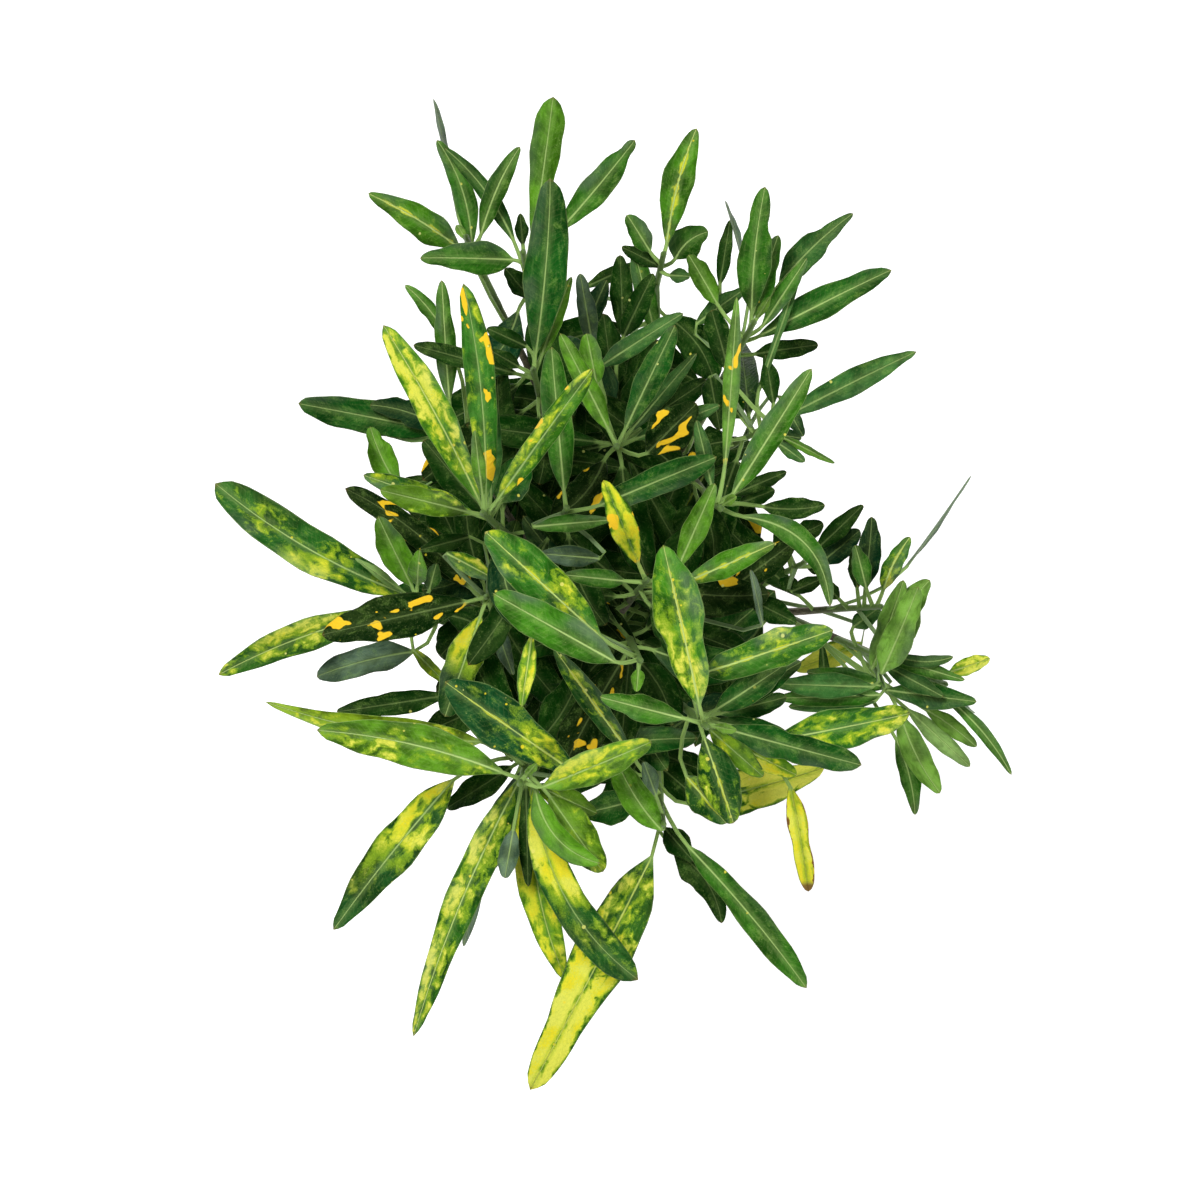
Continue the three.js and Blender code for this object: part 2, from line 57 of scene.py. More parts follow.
stemForm = {
    "steps": 5, "search": 80, "root": 4.4, "tip": 1.7, "branch": 2.7, "bud": 7, "lower": 0.35, "upper": 0.4,
    "lean": 0.12, "foot": 166,
}
bladeForm = {"thick": 1.6, "fold": 0.26, "wave": 0.045, "turns": 10, "lag": 2, "arch": 0.09}
stalkForm = {"length": 12, "share": 0.35, "lift": 5, "climb": 0.6}
spiral = {"first": 4, "pitch": 5.5, "roll": 0.16}
smallLeaf = {"reach": 75, "width": 13}
# the places where a solid leaf may stand, and how many of its corners have to lie there
clear = {
    "bends": [0, 7, -7, 14, -14],
    "lifts": [0, 6, -6, 12, -12, 18, -18, 26, -26, 36, -36, 48, -48, 60, -60, 75],
    "corners": 3, "reach": 0.3,
}
# what each draw adds to the seed of a leaf, or multiplies it by
added = {"phase": 7, "bend": 9, "roll": 1, "twist": 21}
times = {"pinchAt": 4.1, "pinch": 1.7, "green": 3.1, "bias": 1.9, "tone": 2.3}
# the lower leaves of the solids: levels on the stem, what their draws do to the seed, and what is drawn
under = {
    "top": 75, "high": 400, "low": 212, "dense": 330, "pitch": (19, 45), "fork": 0.05,
    "turn": (1, 0), "draws": (0, 3, 5), "reach": (60, 108), "width": (25, 19), "vary": (0.8, 1.1),
    "slopes": (-0.25, 0.3), "sway": 6, "seed": 500,
    "kinds": ["dark", "dark", "blackGold", "deep", "dark", "deepGold", "dark", "deep"],
}
# each outline: shares of the length where its width was read, and the half width there over the greatest,
# and the same again for the end, which only the scene has
outlines = {
    "blade": ([0.12, 0.36, 0.66, 0.9], [0.55, 0.96, 1, 0.6], [0.965], [0.34]),
    "small": ([0.2, 0.5, 0.8], [0.75, 1, 0.7], [0.93, 0.975], [0.42, 0.25]),
    "under": ([0.3, 0.72], [1, 0.95], [0.9, 0.965], [0.62, 0.34]),
}

# what each kind of leaf looks like: its green, how bright its rib is (which also sets how strong its
# painted sheen and its painted rim highlight are), and how its gold lies, from 0 to 1: along the rib, in
# sharp blotches, in soft mottling, in small flecks, flushed to the tip (below 0: to the base); and how
# scorched it is (burn)
leafKinds = {
    "fresh": {"green": (84, 140, 26), "rib": 0.6, "flecks": 0.2},
    "freshDeep": {"green": (58, 118, 24), "rib": 0.9, "flecks": 0.25},
    "freshPale": {"green": (90, 142, 32), "rib": 1, "flecks": 0.2, "mottle": 0.14},
    "freshRib": {"green": (72, 134, 26), "rib": 0.9, "goldRib": 0.5, "flecks": 0.25, "mottle": 0.04},
    "light": {"green": (116, 164, 62), "rib": 0.6, "flecks": 0.06},
    "lightGold": {"green": (96, 148, 50), "rib": 0.6, "blotch": 0.3, "flecks": 0.1},
    "pale": {"green": (140, 178, 98), "rib": 0.5},
    "mid": {"green": (46, 104, 22), "rib": 0.7, "flecks": 0.2},
    "midRib": {"green": (44, 104, 24), "rib": 0.9, "goldRib": 0.35, "flecks": 0.4, "mottle": 0.2},
    "ribGold": {
        "green": (64, 128, 26), "rib": 0.8, "goldRib": 0.7, "flecks": 0.5, "mottle": 0.04, "flush": -0.45,
    },
    "midDeep": {"green": (28, 84, 22), "rib": 0.8, "flecks": 0.2},
    "deep": {"green": (18, 78, 21), "rib": 0.6, "flecks": 0.2},
    "deepGold": {"green": (18, 72, 24), "rib": 0.7, "goldRib": 0.4, "flecks": 0.5, "mottle": 0.14},
    "deepSpot": {"green": (20, 72, 36), "rib": 0.65, "goldRib": 0.2, "flecks": 0.7, "mottle": 0.03},
    "dark": {"green": (6, 50, 5), "rib": 0.2, "flecks": 0.12},
    "teal": {"green": (12, 54, 32), "rib": 0.4, "flecks": 0.1},
    "blackGold": {"green": (3, 28, 3), "rib": 0.2, "blotch": 0.3, "flecks": 0.25},
    "grey": {"green": (84, 106, 88), "rib": 0.45},
    "greyGreen": {"green": (52, 102, 46), "rib": 0.5, "flecks": 0.15},
    "olive": {"green": (88, 130, 26), "rib": 0.5, "mottle": 0.2},
    "yellowGreen": {"green": (92, 146, 26), "rib": 0.6, "mottle": 0.8, "goldRib": 0.1},
    "lime": {"green": (134, 166, 34), "rib": 0.7, "mottle": 0.4, "flecks": 0.2},
    "paleRim": {"green": (104, 154, 44), "rib": 0.7, "mottle": 0.45, "flecks": 0.2},
    "goldMottle": {"green": (44, 102, 28), "rib": 0.8, "mottle": 0.66, "goldRib": 0.1, "flecks": 0.4},
    "goldHalf": {"green": (30, 84, 34), "rib": 0.7, "mottle": 0.03, "flush": -0.9, "flecks": 0.5},
    "creamHalf": {"green": (30, 84, 28), "rib": 0.5, "mottle": 0.06, "flush": -1.3, "flecks": 0.3},
    "goldEnd": {"green": (40, 98, 24), "rib": 0.5, "mottle": 0.44, "flush": 0.95, "flecks": 0.2},
    "goldBase": {"green": (38, 98, 32), "rib": 0.8, "mottle": 0.1, "flush": -0.5, "flecks": 0.5},
    "goldTip": {"green": (70, 130, 26), "rib": 0.7, "mottle": 0.24, "flush": 0.6, "flecks": 0.3},
    "goldBlotch": {"green": (48, 108, 30), "rib": 0.5, "blotch": 0.36, "flecks": 0.2, "mottle": 0.14},
    "goldDark": {"green": (52, 104, 20), "rib": 0.2, "mottle": 1.1, "blotch": 0.45},
    "yellow": {"green": (84, 140, 24), "rib": 0.4, "mottle": 1.25},
    "scorched": {"green": (230, 208, 56), "rib": 0.2, "mottle": 1.4, "burn": 1},
    "bud": {"green": (118, 164, 58), "rib": 0.3},
}

# where each stem leaves the soil
roots = {
    "centre": (8, -2), "north": (-2, 36), "north_west": (-24, 40), "north_east": (26, 44),
    "west": (-30, 14), "west_low": (-46, -8), "south_west": (-26, -32), "south": (14, -38),
    "east": (44, 24),
}

# shoot: its stem, tip, level of the tip, fork from the stem's first shoot, slopes of first and last leaf,
# and its leaves from the top
# leaf: tip x, tip y, width, kind; where its blade starts, if not near the stem; and what else is its own:
# in both programs how far it lies below its place (drop), its slope, bend and roll; in the scene only that
# its place is by the row alone (moved), its midrib bent aside (sway), its width (wide), four widths along
# it (form), a pinch, gold more on one half (bias), how deep its yellow is and which half of the blade gets
# the painted sheen (tone), values of its kind anew
shoots = [
    ("centre", (24, -36), 560, 0, (0.3, -0.1), [
        (22, -55, 8, "fresh", {"slope": 1.2}), (-64, 4, 22, "freshDeep", (9, -37)),
        (-69, 41, 24, "midRib", (0, -22), {"bias": -0.6}), (-47, -64, 11, "yellowGreen", (-41, -22)),
        (12, -96, 24, "dark", {"drop": 100}), (-36, -72, 26, "dark", {"drop": 130}),
        (70, -66, 26, "dark", {"drop": 150}),
    ]),
    ("centre", (28, 12), 515, 300, (0.5, -0.1), [
        (2, 72, 13, "goldDark", {"wide": 1.3}), (69, 70, 14, "fresh", (47, 20)),
        (105, 34, 14, "freshRib", (50, 10)), (-22, 15, 12, "mid"),
        (118, 36, 18, "blackGold", (80, 8), {"drop": 30}), (118, -14, 14, "dark", (90, 0), {"drop": 20}),
        (90, 18, 9, "grey", (97, -15), {"drop": 10, "roll": 0.8}),
        (62, -52, 18, "blackGold", (40, -8), {"drop": 40, "blotch": 0.42}),
        (-20, 58, 24, "dark", {"drop": 70}), (-38, -36, 24, "dark", {"drop": 60}),
        (92, -34, 24, "dark", {"drop": 80}), (52, 84, 24, "dark", {"drop": 90}),
    ]),
    ("north", (38, 207), 455, 0, (0.5, -0.1), [
        (58, 283, 20, "freshRib", {"sway": 2.4, "wide": 0.88, "goldRib": 0.6, "mottle": 0}),
        (16, 231, 11, "mid", {"wide": 1.25}), (65, 221, 15, "mid", {"sway": 3, "wide": 1.3}),
        (54, 194, 9, "greyGreen"), (20, 211, 14, "mid", (33, 160)), (12, 207, 14, "dark", (14, 158)),
        (26, 203, 9, "dark", (-8, 188)),
    ]),
    ("north", (10, 92), 505, 300, (0.5, -0.1), [
        (-24, 160, 14, "fresh"), (-8, 160, 14, "fresh", (-2, 130)), (45, 165, 16, "deep"),
        (58, 118, 24, "blackGold", (28, 88), {"blotch": 0.48}), (50, 172, 13, "greyGreen", (0, 140)),
        (72, 117, 11, "greyGreen"), (58, 148, 11, "greyGreen"), (25, 103, 8, "pale", {"slope": 1}),
        (-12, 196, 12, "grey", (-4, 150)), (34, 156, 22, "dark", (14, 106), {"drop": 40}),
        (64, 132, 22, "dark", {"drop": 60}), (2, 172, 22, "dark", {"drop": 50}),
        (-34, 122, 20, "dark", {"drop": 40}),
    ]),
    ("north_west", (-46, 208), 470, 0, (0.4, -0.1), [
        (-48, 232, 8, "dark", {"slope": 1.3}),
        (-28, 302, 19, "fresh", (-40, 215), {"sway": -0.5, "form": (0.75, 0.78, 0.96, 1.25)}),
        (-108, 205, 18, "mid", (-52, 204), {"moved": True, "form": (1.45, 1.02, 1, 0.92)}),
        (21, 276, 16, "mid", (-24, 222), {"sway": -1.2, "pinch": (0.86, 0.3)}),
        (-93, 271, 12, "deep", (-52, 216), {"sway": -4}),
    ]),
    ("north_west", (-80, 217), 455, 330, (0.5, 0), [
        (-86, 225, 6, "bud", {"slope": 1.6}), (-48, 272, 11, "freshDeep", {"sway": 2, "wide": 1.1}),
        (-139, 244, 18, "freshRib", {"sway": -1.5, "wide": 0.92, "form": (1.4, 1.05, 0.95, 0.95)}),
        (-98, 276, 14, "mid", {"sway": -5}),
        (-100, 301, 12, "grey", (-85, 230), {"slope": 0.3, "roll": 1.3}),
    ]),
    ("north_west", (-40, 138), 505, 300, (0.35, -0.1), [
        (-30, 253, 21, "deep", {"sway": -2, "wide": 1.12}), (-17, 194, 10, "fresh"), (-66, 150, 9, "dark"),
        (-68, 163, 10, "dark", (-44, 152)), (-112, 153, 13, "dark"),
    ]),
    ("north_east", (92, 166), 470, 0, (0.5, -0.1), [
        (102, 182, 6, "bud", {"slope": 1.5}),
        (99, 248, 17, "mid", {"sway": 2, "wide": 1.1, "pinch": (0.68, 0.3)}),
        (107, 219, 10, "mid", {"wide": 1.3}), (53, 207, 14, "fresh", (70, 178)),
        (152, 232, 14, "greyGreen", (108, 190), {"sway": 2, "form": (1.5, 1.15, 0.9, 0.8)}),
        (175, 198, 18, "midDeep", {"sway": 0.3}), (75, 240, 12, "grey", (88, 195), {"roll": 1.2}),
        (78, 228, 9, "dark", (72, 190)), (87, 187, 12, "greyGreen", (58, 166)), (131, 153, 13, "dark"),
    ]),
    ("north_east", (72, 55), 525, 300, (0.5, -0.1), [
        (82, 62, 6, "bud", {"slope": 1.8}), (82, 182, 10, "lightGold", (75, 82)),
        (127, 139, 15, "freshDeep", (80, 64)), (58, 108, 10, "greyGreen"),
        (138, -4, 14, "mid", (86, 50), {"bend": 15}), (135, 57, 13, "dark", (98, 56), {"sway": -2}),
        (112, 77, 10, "dark"), (46, 40, 16, "dark", {"drop": 30}),
    ]),
    ("north_east", (103, 106), 445, 280, (0.3, -0.1), [
        (190, 149, 14, "greyGreen", {"sway": 0.3}), (141, 82, 8, "fresh", {"roll": 0.8}),
        (121, 200, 8, "greyGreen", (95, 125), {"wide": 0.7}), (123, 83, 8, "greyGreen"),
        (121, 97, 9, "teal"), (66, 132, 18, "dark"), (84, 156, 17, "dark"), (58, 92, 20, "dark"),
    ]),
    ("west", (-70, 52), 540, 0, (0.5, -0.1), [
        (-75, 102, 9, "fresh", {"slope": 0.9}),
        (-4, 139, 14, "freshDeep", {"rib": 0.6, "goldRib": 0, "mottle": 0.34, "blotch": 0.1, "bias": 1,
         "tone": 0.2}),
        (-132, 66, 15, "olive"), (-82, 190, 17, "goldBlotch", {"bend": -7, "sway": 3, "wide": 1.15}),
        (-130, 165, 20, "goldTip", {"bend": 4, "sway": -6, "goldRib": 0.15, "mottle": 0.3, "bias": 0.2}),
        (-64, 118, 12, "greyGreen", {"roll": 0.5}), (-45, 85, 20, "deep"), (-142, 75, 16, "goldBase"),
        (-106, 96, 20, "dark", {"drop": 40}), (-62, 146, 18, "dark", {"drop": 50}),
    ]),
    ("west", (-20, 55), 500, 320, (0.4, -0.1), [
        (-29, 152, 20, "mid"), (70, 86, 18, "deep", (0, 57)), (6, 48, 10, "mid", (-40, 44)),
        (-35, 28, 12, "grey", (0, 25)),
    ]),
    ("west", (-92, 112), 450, 300, (0.3, -0.1), [
        (-95, 192, 14, "freshDeep"), (-117, 189, 10, "freshDeep", (-88, 150), {"sway": -3}),
        (-138, 104, 16, "fresh", (-121, 68), {"sway": 1.5, "wide": 0.92}),
        (-138, 117, 14, "teal", {"sway": -2.5, "wide": 1.25}), (-181, 118, 21, "deep"),
        (-133, 101, 12, "pale", {"roll": 0.5}), (-121, 69, 9, "dark", (-95, 73)),
    ]),
    ("west_low", (-112, -2), 450, 0, (0.4, -0.15), [
        (-108, 30, 12, "fresh", {"slope": 1.3}), (-147, 25, 9, "pale", {"roll": 0.9}),
        (-133, 50, 17, "fresh"),
        (-231, 70, 26, "goldBase", {"sway": 5.5, "wide": 1.1, "mottle": 0.12, "flush": -0.42, "bias": 0.8}),
        (-229, -45, 17, "goldMottle", (-122, -6), {"drop": 24, "sway": -4.2, "wide": 1.1, "mottle": 0.5,
         "bias": -0.5}),
        (-98, 22, 10, "deep"), (-170, -46, 16, "grey", (-112, -31), {"drop": 20, "sway": -2, "wide": 1.25}),
    ]),
    ("west_low", (-68, 2), 470, 300, (0.1, -0.2), [
        (-62, 12, 12, "goldMottle", (-92, 28)), (-167, -21, 25, "blackGold"),
        (-93, -70, 20, "goldBase", {"wide": 1.25, "green": (16, 60, 18), "mottle": 0, "flush": -1.1,
         "bias": -0.2}),
        (-153, 67, 15, "blackGold", {"drop": 40, "sway": -6, "wide": 1.1}),
        (-52, -45, 12, "grey", {"roll": 0.4}), (-108, 30, 10, "dark", (-78, 38)),
        (-158, -67, 16, "dark", (-92, -57), {"drop": 20}), (-96, -34, 24, "dark", {"drop": 90}),
        (-28, -70, 24, "dark", {"drop": 100}),
    ]),
    ("south_west", (-48, -110), 500, 0, (0.3, -0.25), [
        (-38, -98, 6, "bud", {"slope": 1.6}), (31, -85, 20, "paleRim", (-34, -112), {"bias": 1}),
        (-170, -78, 26, "freshPale", {"sway": -5, "wide": 0.96, "bias": 1}),
        (0, -158, 18, "fresh", {"bend": -9}),
        (-93, -49, 27, "deepSpot", (-14, -104), {"goldRib": 0.3, "flecks": 0.9, "flush": -0.5,
         "bias": -0.5}),
        (2, -163, 22, "olive", (-30, -118)),
        (-201, -61, 16, "lime", (-72, -85), {"sway": 4.5, "form": (1.7, 1.25, 0.8, 0.5)}),
        (23, -228, 22, "creamHalf", {"bend": -8, "sway": -7, "form": (1, 1, 1, 1.25)}),
        (-43, -172, 10, "dark"),
        (-160, -198, 22, "goldHalf", (-88, -108), {"sway": -1.5, "form": (1.4, 1.2, 0.97, 0.8),
         "flush": -0.75, "bias": -0.4}),
        (-112, -262, 19, "goldMottle", {"sway": -4.5, "form": (1.45, 1.15, 0.9, 0.85), "mottle": 0.6,
         "bias": -0.6}),
        (-20, -229, 22, "yellowGreen", {"sway": -7, "form": (1.2, 1.1, 0.95, 0.75), "bias": -0.3}),
        (-52, -160, 9, "deep"), (-92, -125, 14, "dark", {"wide": 1.35}),
        (-68, -163, 14, "grey", {"wide": 1.5}), (-82, -208, 10, "grey", (-60, -132), {"roll": 0.7}),
    ]),
    ("south", (64, -76), 550, 0, (0.15, -0.2), [
        (82, -78, 6, "bud", {"slope": 1.6}), (38, 33, 27, "ribGold", {"goldRib": 0.6, "mottle": 0.12}),
        (0, -58, 16, "freshDeep"), (157, -99, 18, "deep"),
        (140, -18, 23, "midRib", (62, -44), {"bias": 0.7}), (112, -38, 18, "deep"), (121, -37, 14, "deep"),
        (80, -134, 22, "deepGold"), (114, -82, 16, "deep"), (98, -106, 14, "olive"),
        (186, -68, 23, "goldMottle", (105, -84), {"mottle": 0.6}),
        (125, -175, 11, "scorched", (114, -112), {"slope": -0.5, "sway": 0.5,
         "form": (1.35, 0.95, 1, 1.4), "tone": 0.6}),
    ]),
    ("south", (38, -134), 465, 320, (0.4, -0.25), [
        (8, -90, 17, "fresh", (37, -138), {"moved": True, "sway": 3, "wide": 1.15}),
        (26, -97, 11, "grey", {"roll": 0.4}), (124, -233, 17, "mid", (53, -148), {"sway": 2.4}),
        (-28, -28, 14, "deepGold", (18, -92)),
        (73, -194, 16, "dark", (44, -150), {"drop": 12, "sway": 6.5, "form": (1.5, 1.1, 0.95, 0.92)}),
        (-10, -128, 14, "deep", {"wide": 1.4}),
        (135, -100, 22, "goldEnd", (52, -122), {"sway": -1, "form": (1.6, 1.35, 1, 0.85), "tone": 1}),
        (-42, -294, 27, "goldEnd", (31, -154), {"wide": 1.08, "form": (1.4, 1.2, 0.92, 0.95),
         "goldRib": 0.2, "flush": 0.85, "bias": -0.3, "tone": 0.8}),
        (64, -124, 20, "dark", (34, -98), {"drop": 30}), (2, -128, 22, "dark", (28, -90), {"drop": 30}),
        (58, -84, 20, "dark", {"drop": 40}), (-6, -92, 18, "dark", {"drop": 30}),
    ]),
    ("east", (168, -34), 405, 0, (0.6, -0.2), [
        (175, -12, 10, "mid"), (212, -34, 8, "greyGreen", {"sway": -4}), (219, -48, 10, "mid"),
        (226, -61, 15, "deep", (172, -54)), (204, -116, 18, "light", (180, -68), {"sway": -3}),
        (168, -4, 12, "greyGreen", (152, -16)), (189, -129, 12, "mid", (178, -84), {"sway": 2}),
        (226, -88, 12, "light", (196, -66), {"sway": 1}), (222, -100, 12, "pale", (185, -66)),
        (104, -50, 10, "greyGreen", (164, -52), {"drop": -44, "moved": True, "wide": 1.6}),
        (107, -59, 9, "mid", (168, -57), {"drop": -44, "moved": True, "wide": 1.6}),
        (113, -64, 7, "greyGreen", (166, -60), {"drop": -50, "moved": True, "wide": 1.6}),
        (124, -43, 9, "mid", (172, -52), {"drop": -50, "moved": True, "wide": 1.6}),
        (117, -42, 16, "yellow", (157, -26), {"drop": 20, "slope": -0.2, "tone": 1}),
        (137, -73, 9, "dark", (133, -26)),
    ]),
    ("east", (168, -4), 420, 300, (0.7, 0), [
        (186, 38, 12, "midRib", {"sway": 2}), (153, 33, 11, "mid"),
        (198, 12, 17, "light", (180, -30), {"sway": 5, "wide": 1.2}), (163, 50, 13, "teal", {"wide": 1.2}),
        (152, 30, 9, "dark"), (223, 75, 10, "grey", (184, 20), {"roll": 1.25}), (133, 12, 9, "dark"),
    ]),
    ("east", (206, -50), 395, 330, (0.5, -0.1), [
        (234, -35, 9, "yellowGreen", {"wide": 1.2}), (247, -105, 10, "mid", {"sway": 4, "wide": 0.75}),
        (225, -68, 9, "grey", {"roll": 1}),
    ]),
    ("east", (122, 22), 400, 270, (0.2, -0.1), [
        (158, 57, 12, "dark"), (156, 42, 17, "teal", (132, 22), {"wide": 0.85}), (137, 20, 11, "dark"),
        (112, 5, 14, "dark"), (108, 45, 14, "dark"),
    ]),
]

# leaves that only the scene has: stem, number of the shoot, and the row; and the seed they start with
extras = [
    ("west_low", 0, (-92, -50, 8, "lime", (-112, -30), {"drop": 40})),
    ("south_west", 0, (-2, -128, 15, "olive", (-38, -111), {"drop": 50})),
    ("south_west", 0, (-57, -167, 14, "grey", (-52, -138), {"drop": 40})),
    ("west_low", 1, (-106, -80, 20, "dark", (-66, -62), {"drop": 90})),
    ("south", 1, (56, -157, 15, "dark", (39, -137), {"drop": 30})),
    ("south", 0, (76, -134, 19, "deepGold", (52, -106), {"drop": 60})),
    ("south", 1, (66, -104, 17, "dark", (36, -92), {"drop": 100})),
    ("south", 0, (112, -58, 15, "deep", (72, -68), {"drop": 70})),
    ("east", 0, (206, -58, 12, "greyGreen", (172, -40), {"drop": 12})),
    ("east", 0, (191, 8, 21, "light", (169, -44), {"drop": -6})),
    ("east", 0, (182, 12, 16, "light", (163, -41), {"drop": 4})),
    ("east", 3, (134, 46, 12, "dark", (115, 37), {"drop": 10})),
    ("east", 3, (134, 13, 11, "dark", (115, 5), {"drop": 10})),
    ("south", 0, (118, -105, 14, "yellowGreen", (84, -88), {"drop": 60})),
    ("north_east", 1, (105, 66, 11, "dark", (84, 58), {"drop": 40})),
    ("north_east", 2, (99, 147, 11, "dark", (104, 118), {"drop": 10})),
    ("north_east", 0, (124, 205, 11, "mid", (98, 165), {"drop": 20})),
    ("north", 0, (13, 212, 10, "dark", (36, 200), {"drop": 20})),
    ("north", 1, (32, 196, 13, "dark", (14, 158), {"drop": 60})),
    ("north", 1, (4, 192, 14, "teal", (-8, 164), {"drop": 70})),
    ("north_west", 0, (-57, 199, 13, "dark", (-43, 182), {"drop": 50})),
    ("north_east", 2, (122, 98, 10, "teal", (108, 122), {"drop": 30})),
    ("north_east", 2, (67, 174, 17, "dark", (77, 138), {"drop": -30})),
    ("north_east", 2, (72, 102, 15, "dark", (66, 134), {"drop": 10})),
]
extraSeed = 700

# the shoots by stem, each with its values by name
shootKeys = ("tip", "top", "fork", "slopes", "leaves")
stems = {name: [dict(zip(shootKeys, shoot[1:])) for shoot in shoots if shoot[0] == name] for name in roots}


def mix(a, b, t):
    return a + (b - a) * t


def unit(count):  # an even spread of shares, the same at every run
    return (count * goldenShare) % 1


def either(count):  # the same, from -1 to 1
    return 2 * unit(count) - 1


def upTo(x, reach):  # 0 below 0, 1 above reach, straight between them
    return np.clip(x / reach, 0, 1)


def turns(count):
    return 2 * np.pi * np.arange(count) / count


def spread(z):  # plan reading to true place at a level
    return (eye["height"] - z) / (eye["height"] - eye["plan"])


def seenAt(place, z):
    return np.array([place[0] * spread(z), place[1] * spread(z), z])


def direction(v):
    return v / np.linalg.norm(v, axis=-1, keepdims=True)


def aside(reach):  # the level direction to the left of it
    return direction(np.array([-reach[1], reach[0], 0]))


def walkedAlong(points):  # the way walked from the first point to each
    return np.concatenate([[0], np.cumsum(np.linalg.norm(np.diff(points, axis=0), axis=1))])


def triples(*values):  # three values for each point of a grid, as rows
    return np.stack(np.broadcast_arrays(*values), -1).reshape(-1, 3)


def bezier(controls, t):
    # weights (1-t)^(n-k) t^k times the binomials 1 2 1 or 1 3 3 1, one row for each t
    t = np.asarray(t, float)[:, None]
    n = len(controls) - 1
    counts = [1, 2, 1] if n == 2 else [1, 3, 3, 1]
    return sum(c * (1 - t) ** (n - k) * t**k * controls[k] for k, c in enumerate(counts))


def bezierWay(controls, t):
    # direction of the curve: the Bezier of one degree less over the differences of the controls
    t = np.asarray(t, float)[:, None]
    steps = np.diff(controls, axis=0)
    if len(steps) == 2:
        return direction((1 - t) * steps[0] + t * steps[1])
    return direction((1 - t) ** 2 * steps[0] + 2 * t * (1 - t) * steps[1] + t**2 * steps[2])


def through(x, xs, ys):
    # cubic Hermite through the stations, each slope from the two neighbours
    xs, ys = np.asarray(xs, float), np.asarray(ys, float)
    slope = np.gradient(ys, xs)
    i = np.clip(np.searchsorted(xs, x, side="right") - 1, 0, len(xs) - 2)
    gap = xs[i + 1] - xs[i]
    s = (x - xs[i]) / gap
    start = (1 + 2 * s) * (1 - s) ** 2 * ys[i] + s * (1 - s) ** 2 * gap * slope[i]
    return start + s**2 * (3 - 2 * s) * ys[i + 1] + s**2 * (s - 1) * gap * slope[i + 1]


def stemLine(foot, tip):
    # four controls: upright from the foot, leaning over, and upright again at the tip
    rise = tip[2] - foot[2]
    reach = np.array([tip[0] - foot[0], tip[1] - foot[1], 0])
    lower = foot + np.array([0, 0, stemForm["lower"] * rise])
    upper = tip - stemForm["lean"] * reach - np.array([0, 0, stemForm["upper"] * rise])
    return np.array([foot, lower, upper, tip])


def shareAt(line, level):  # share of a stem's height at a level
    return (level - line[0][2]) / (line[3][2] - line[0][2])


def onStem(line, shares):  # points on the straight runs between the rings of the solid stem
    rings = bezier(line, np.linspace(0, 1, stemForm["steps"] + 1))
    at = np.asarray(shares, float) * stemForm["steps"]
    low = np.minimum(np.floor(at).astype(int), stemForm["steps"] - 1)
    return rings[low] + (rings[low + 1] - rings[low]) * (at - low)[:, None]


def readLeaf(line, shoot, row, order, seed):  # a leaf from its row in the list
    x, y, width, kind, *more = row
    own = {}
    for part in more:
        own.update(part if isinstance(part, dict) else {"from": part})
    level = shoot["top"] - spiral["first"] - spiral["pitch"] * order - own.get("drop", 0)
    shares = np.arange(stemForm["search"]) / stemForm["search"]
    points = onStem(line, shares)
    flat = points[:, :2] / spread(points[:, 2])[:, None]
    away = np.linalg.norm([x, y] - flat, axis=1)
    step = np.minimum(stalkForm["length"], away * stalkForm["share"]) / away
    starts = mix(flat, np.array([x, y]), step[:, None])
    if "from" in own:
        starts[:] = own["from"]
    gone = np.linalg.norm(starts - flat, axis=1)
    climb = stalkForm["climb"] * np.maximum(0, gone - stalkForm["length"])
    best = np.argmin(np.abs(level - stalkForm["lift"] - climb - points[:, 2]))
    reach = np.hypot(x - starts[best][0], y - starts[best][1])
    slope = own.get("slope", mix(*shoot["slopes"], order / (len(shoot["leaves"]) - 1)))
    small = reach < smallLeaf["reach"] or width < smallLeaf["width"]
    roll = own.get("roll", spiral["roll"] * either(seed))
    return {
        "line": line, "share": shares[best], "foot": seenAt(starts[best], level), "tip": (x, y),
        "width": width, "rise": slope * reach, "bend": own.get("bend", 0), "roll": roll,
        "phase": 2 * np.pi * unit(seed + added["phase"]), "outline": "small" if small else "blade",
        "kind": kind, "seed": seed, "own": own,
    }


def hiddenLeaf(line, share, make, seed):  # a leaf that no row tells of, drawn by its number
    root = onStem(line, [share])[0]
    flat = root[:2] / spread(root[2])
    turn = 2 * np.pi * unit(seed * make["turn"][0] + make["turn"][1])
    way = np.array([np.cos(turn), np.sin(turn)])
    far, wide, steep = (unit(seed + step) for step in make["draws"])
    reach = mix(*make["reach"], far)
    width = make["width"][0 if root[2] < under["dense"] else 1]
    foot = seenAt(flat + stalkForm["length"] * way, root[2] + stalkForm["lift"])
    return {
        "line": line, "share": share, "foot": foot, "tip": flat + reach * way,
        "width": width * mix(*make["vary"], wide), "rise": reach * mix(*make["slopes"], steep),
        "bend": under["sway"] * either(seed + added["bend"]),
        "roll": spiral["roll"] * either(seed + added["roll"]),
        "phase": 2 * np.pi * unit(seed + added["phase"]), "outline": "under",
        "kind": make["kinds"][seed % len(make["kinds"])], "seed": make["seed"] + seed, "own": {},
    }


def placed(leaf, lift=0, bend=0):  # the leaf in one of its places: tip lifted, midrib bent aside
    tip = seenAt(leaf["tip"], leaf["foot"][2] + leaf["rise"] + lift)
    reach = tip - leaf["foot"]
    middle = (leaf["foot"] + tip) / 2 + 2 * (leaf["bend"] + bend) * aside(reach)
    middle[2] += 2 * bladeForm["arch"] * np.linalg.norm(reach)
    return {**leaf, "end": tip, "rib": np.array([leaf["foot"], middle, tip])}


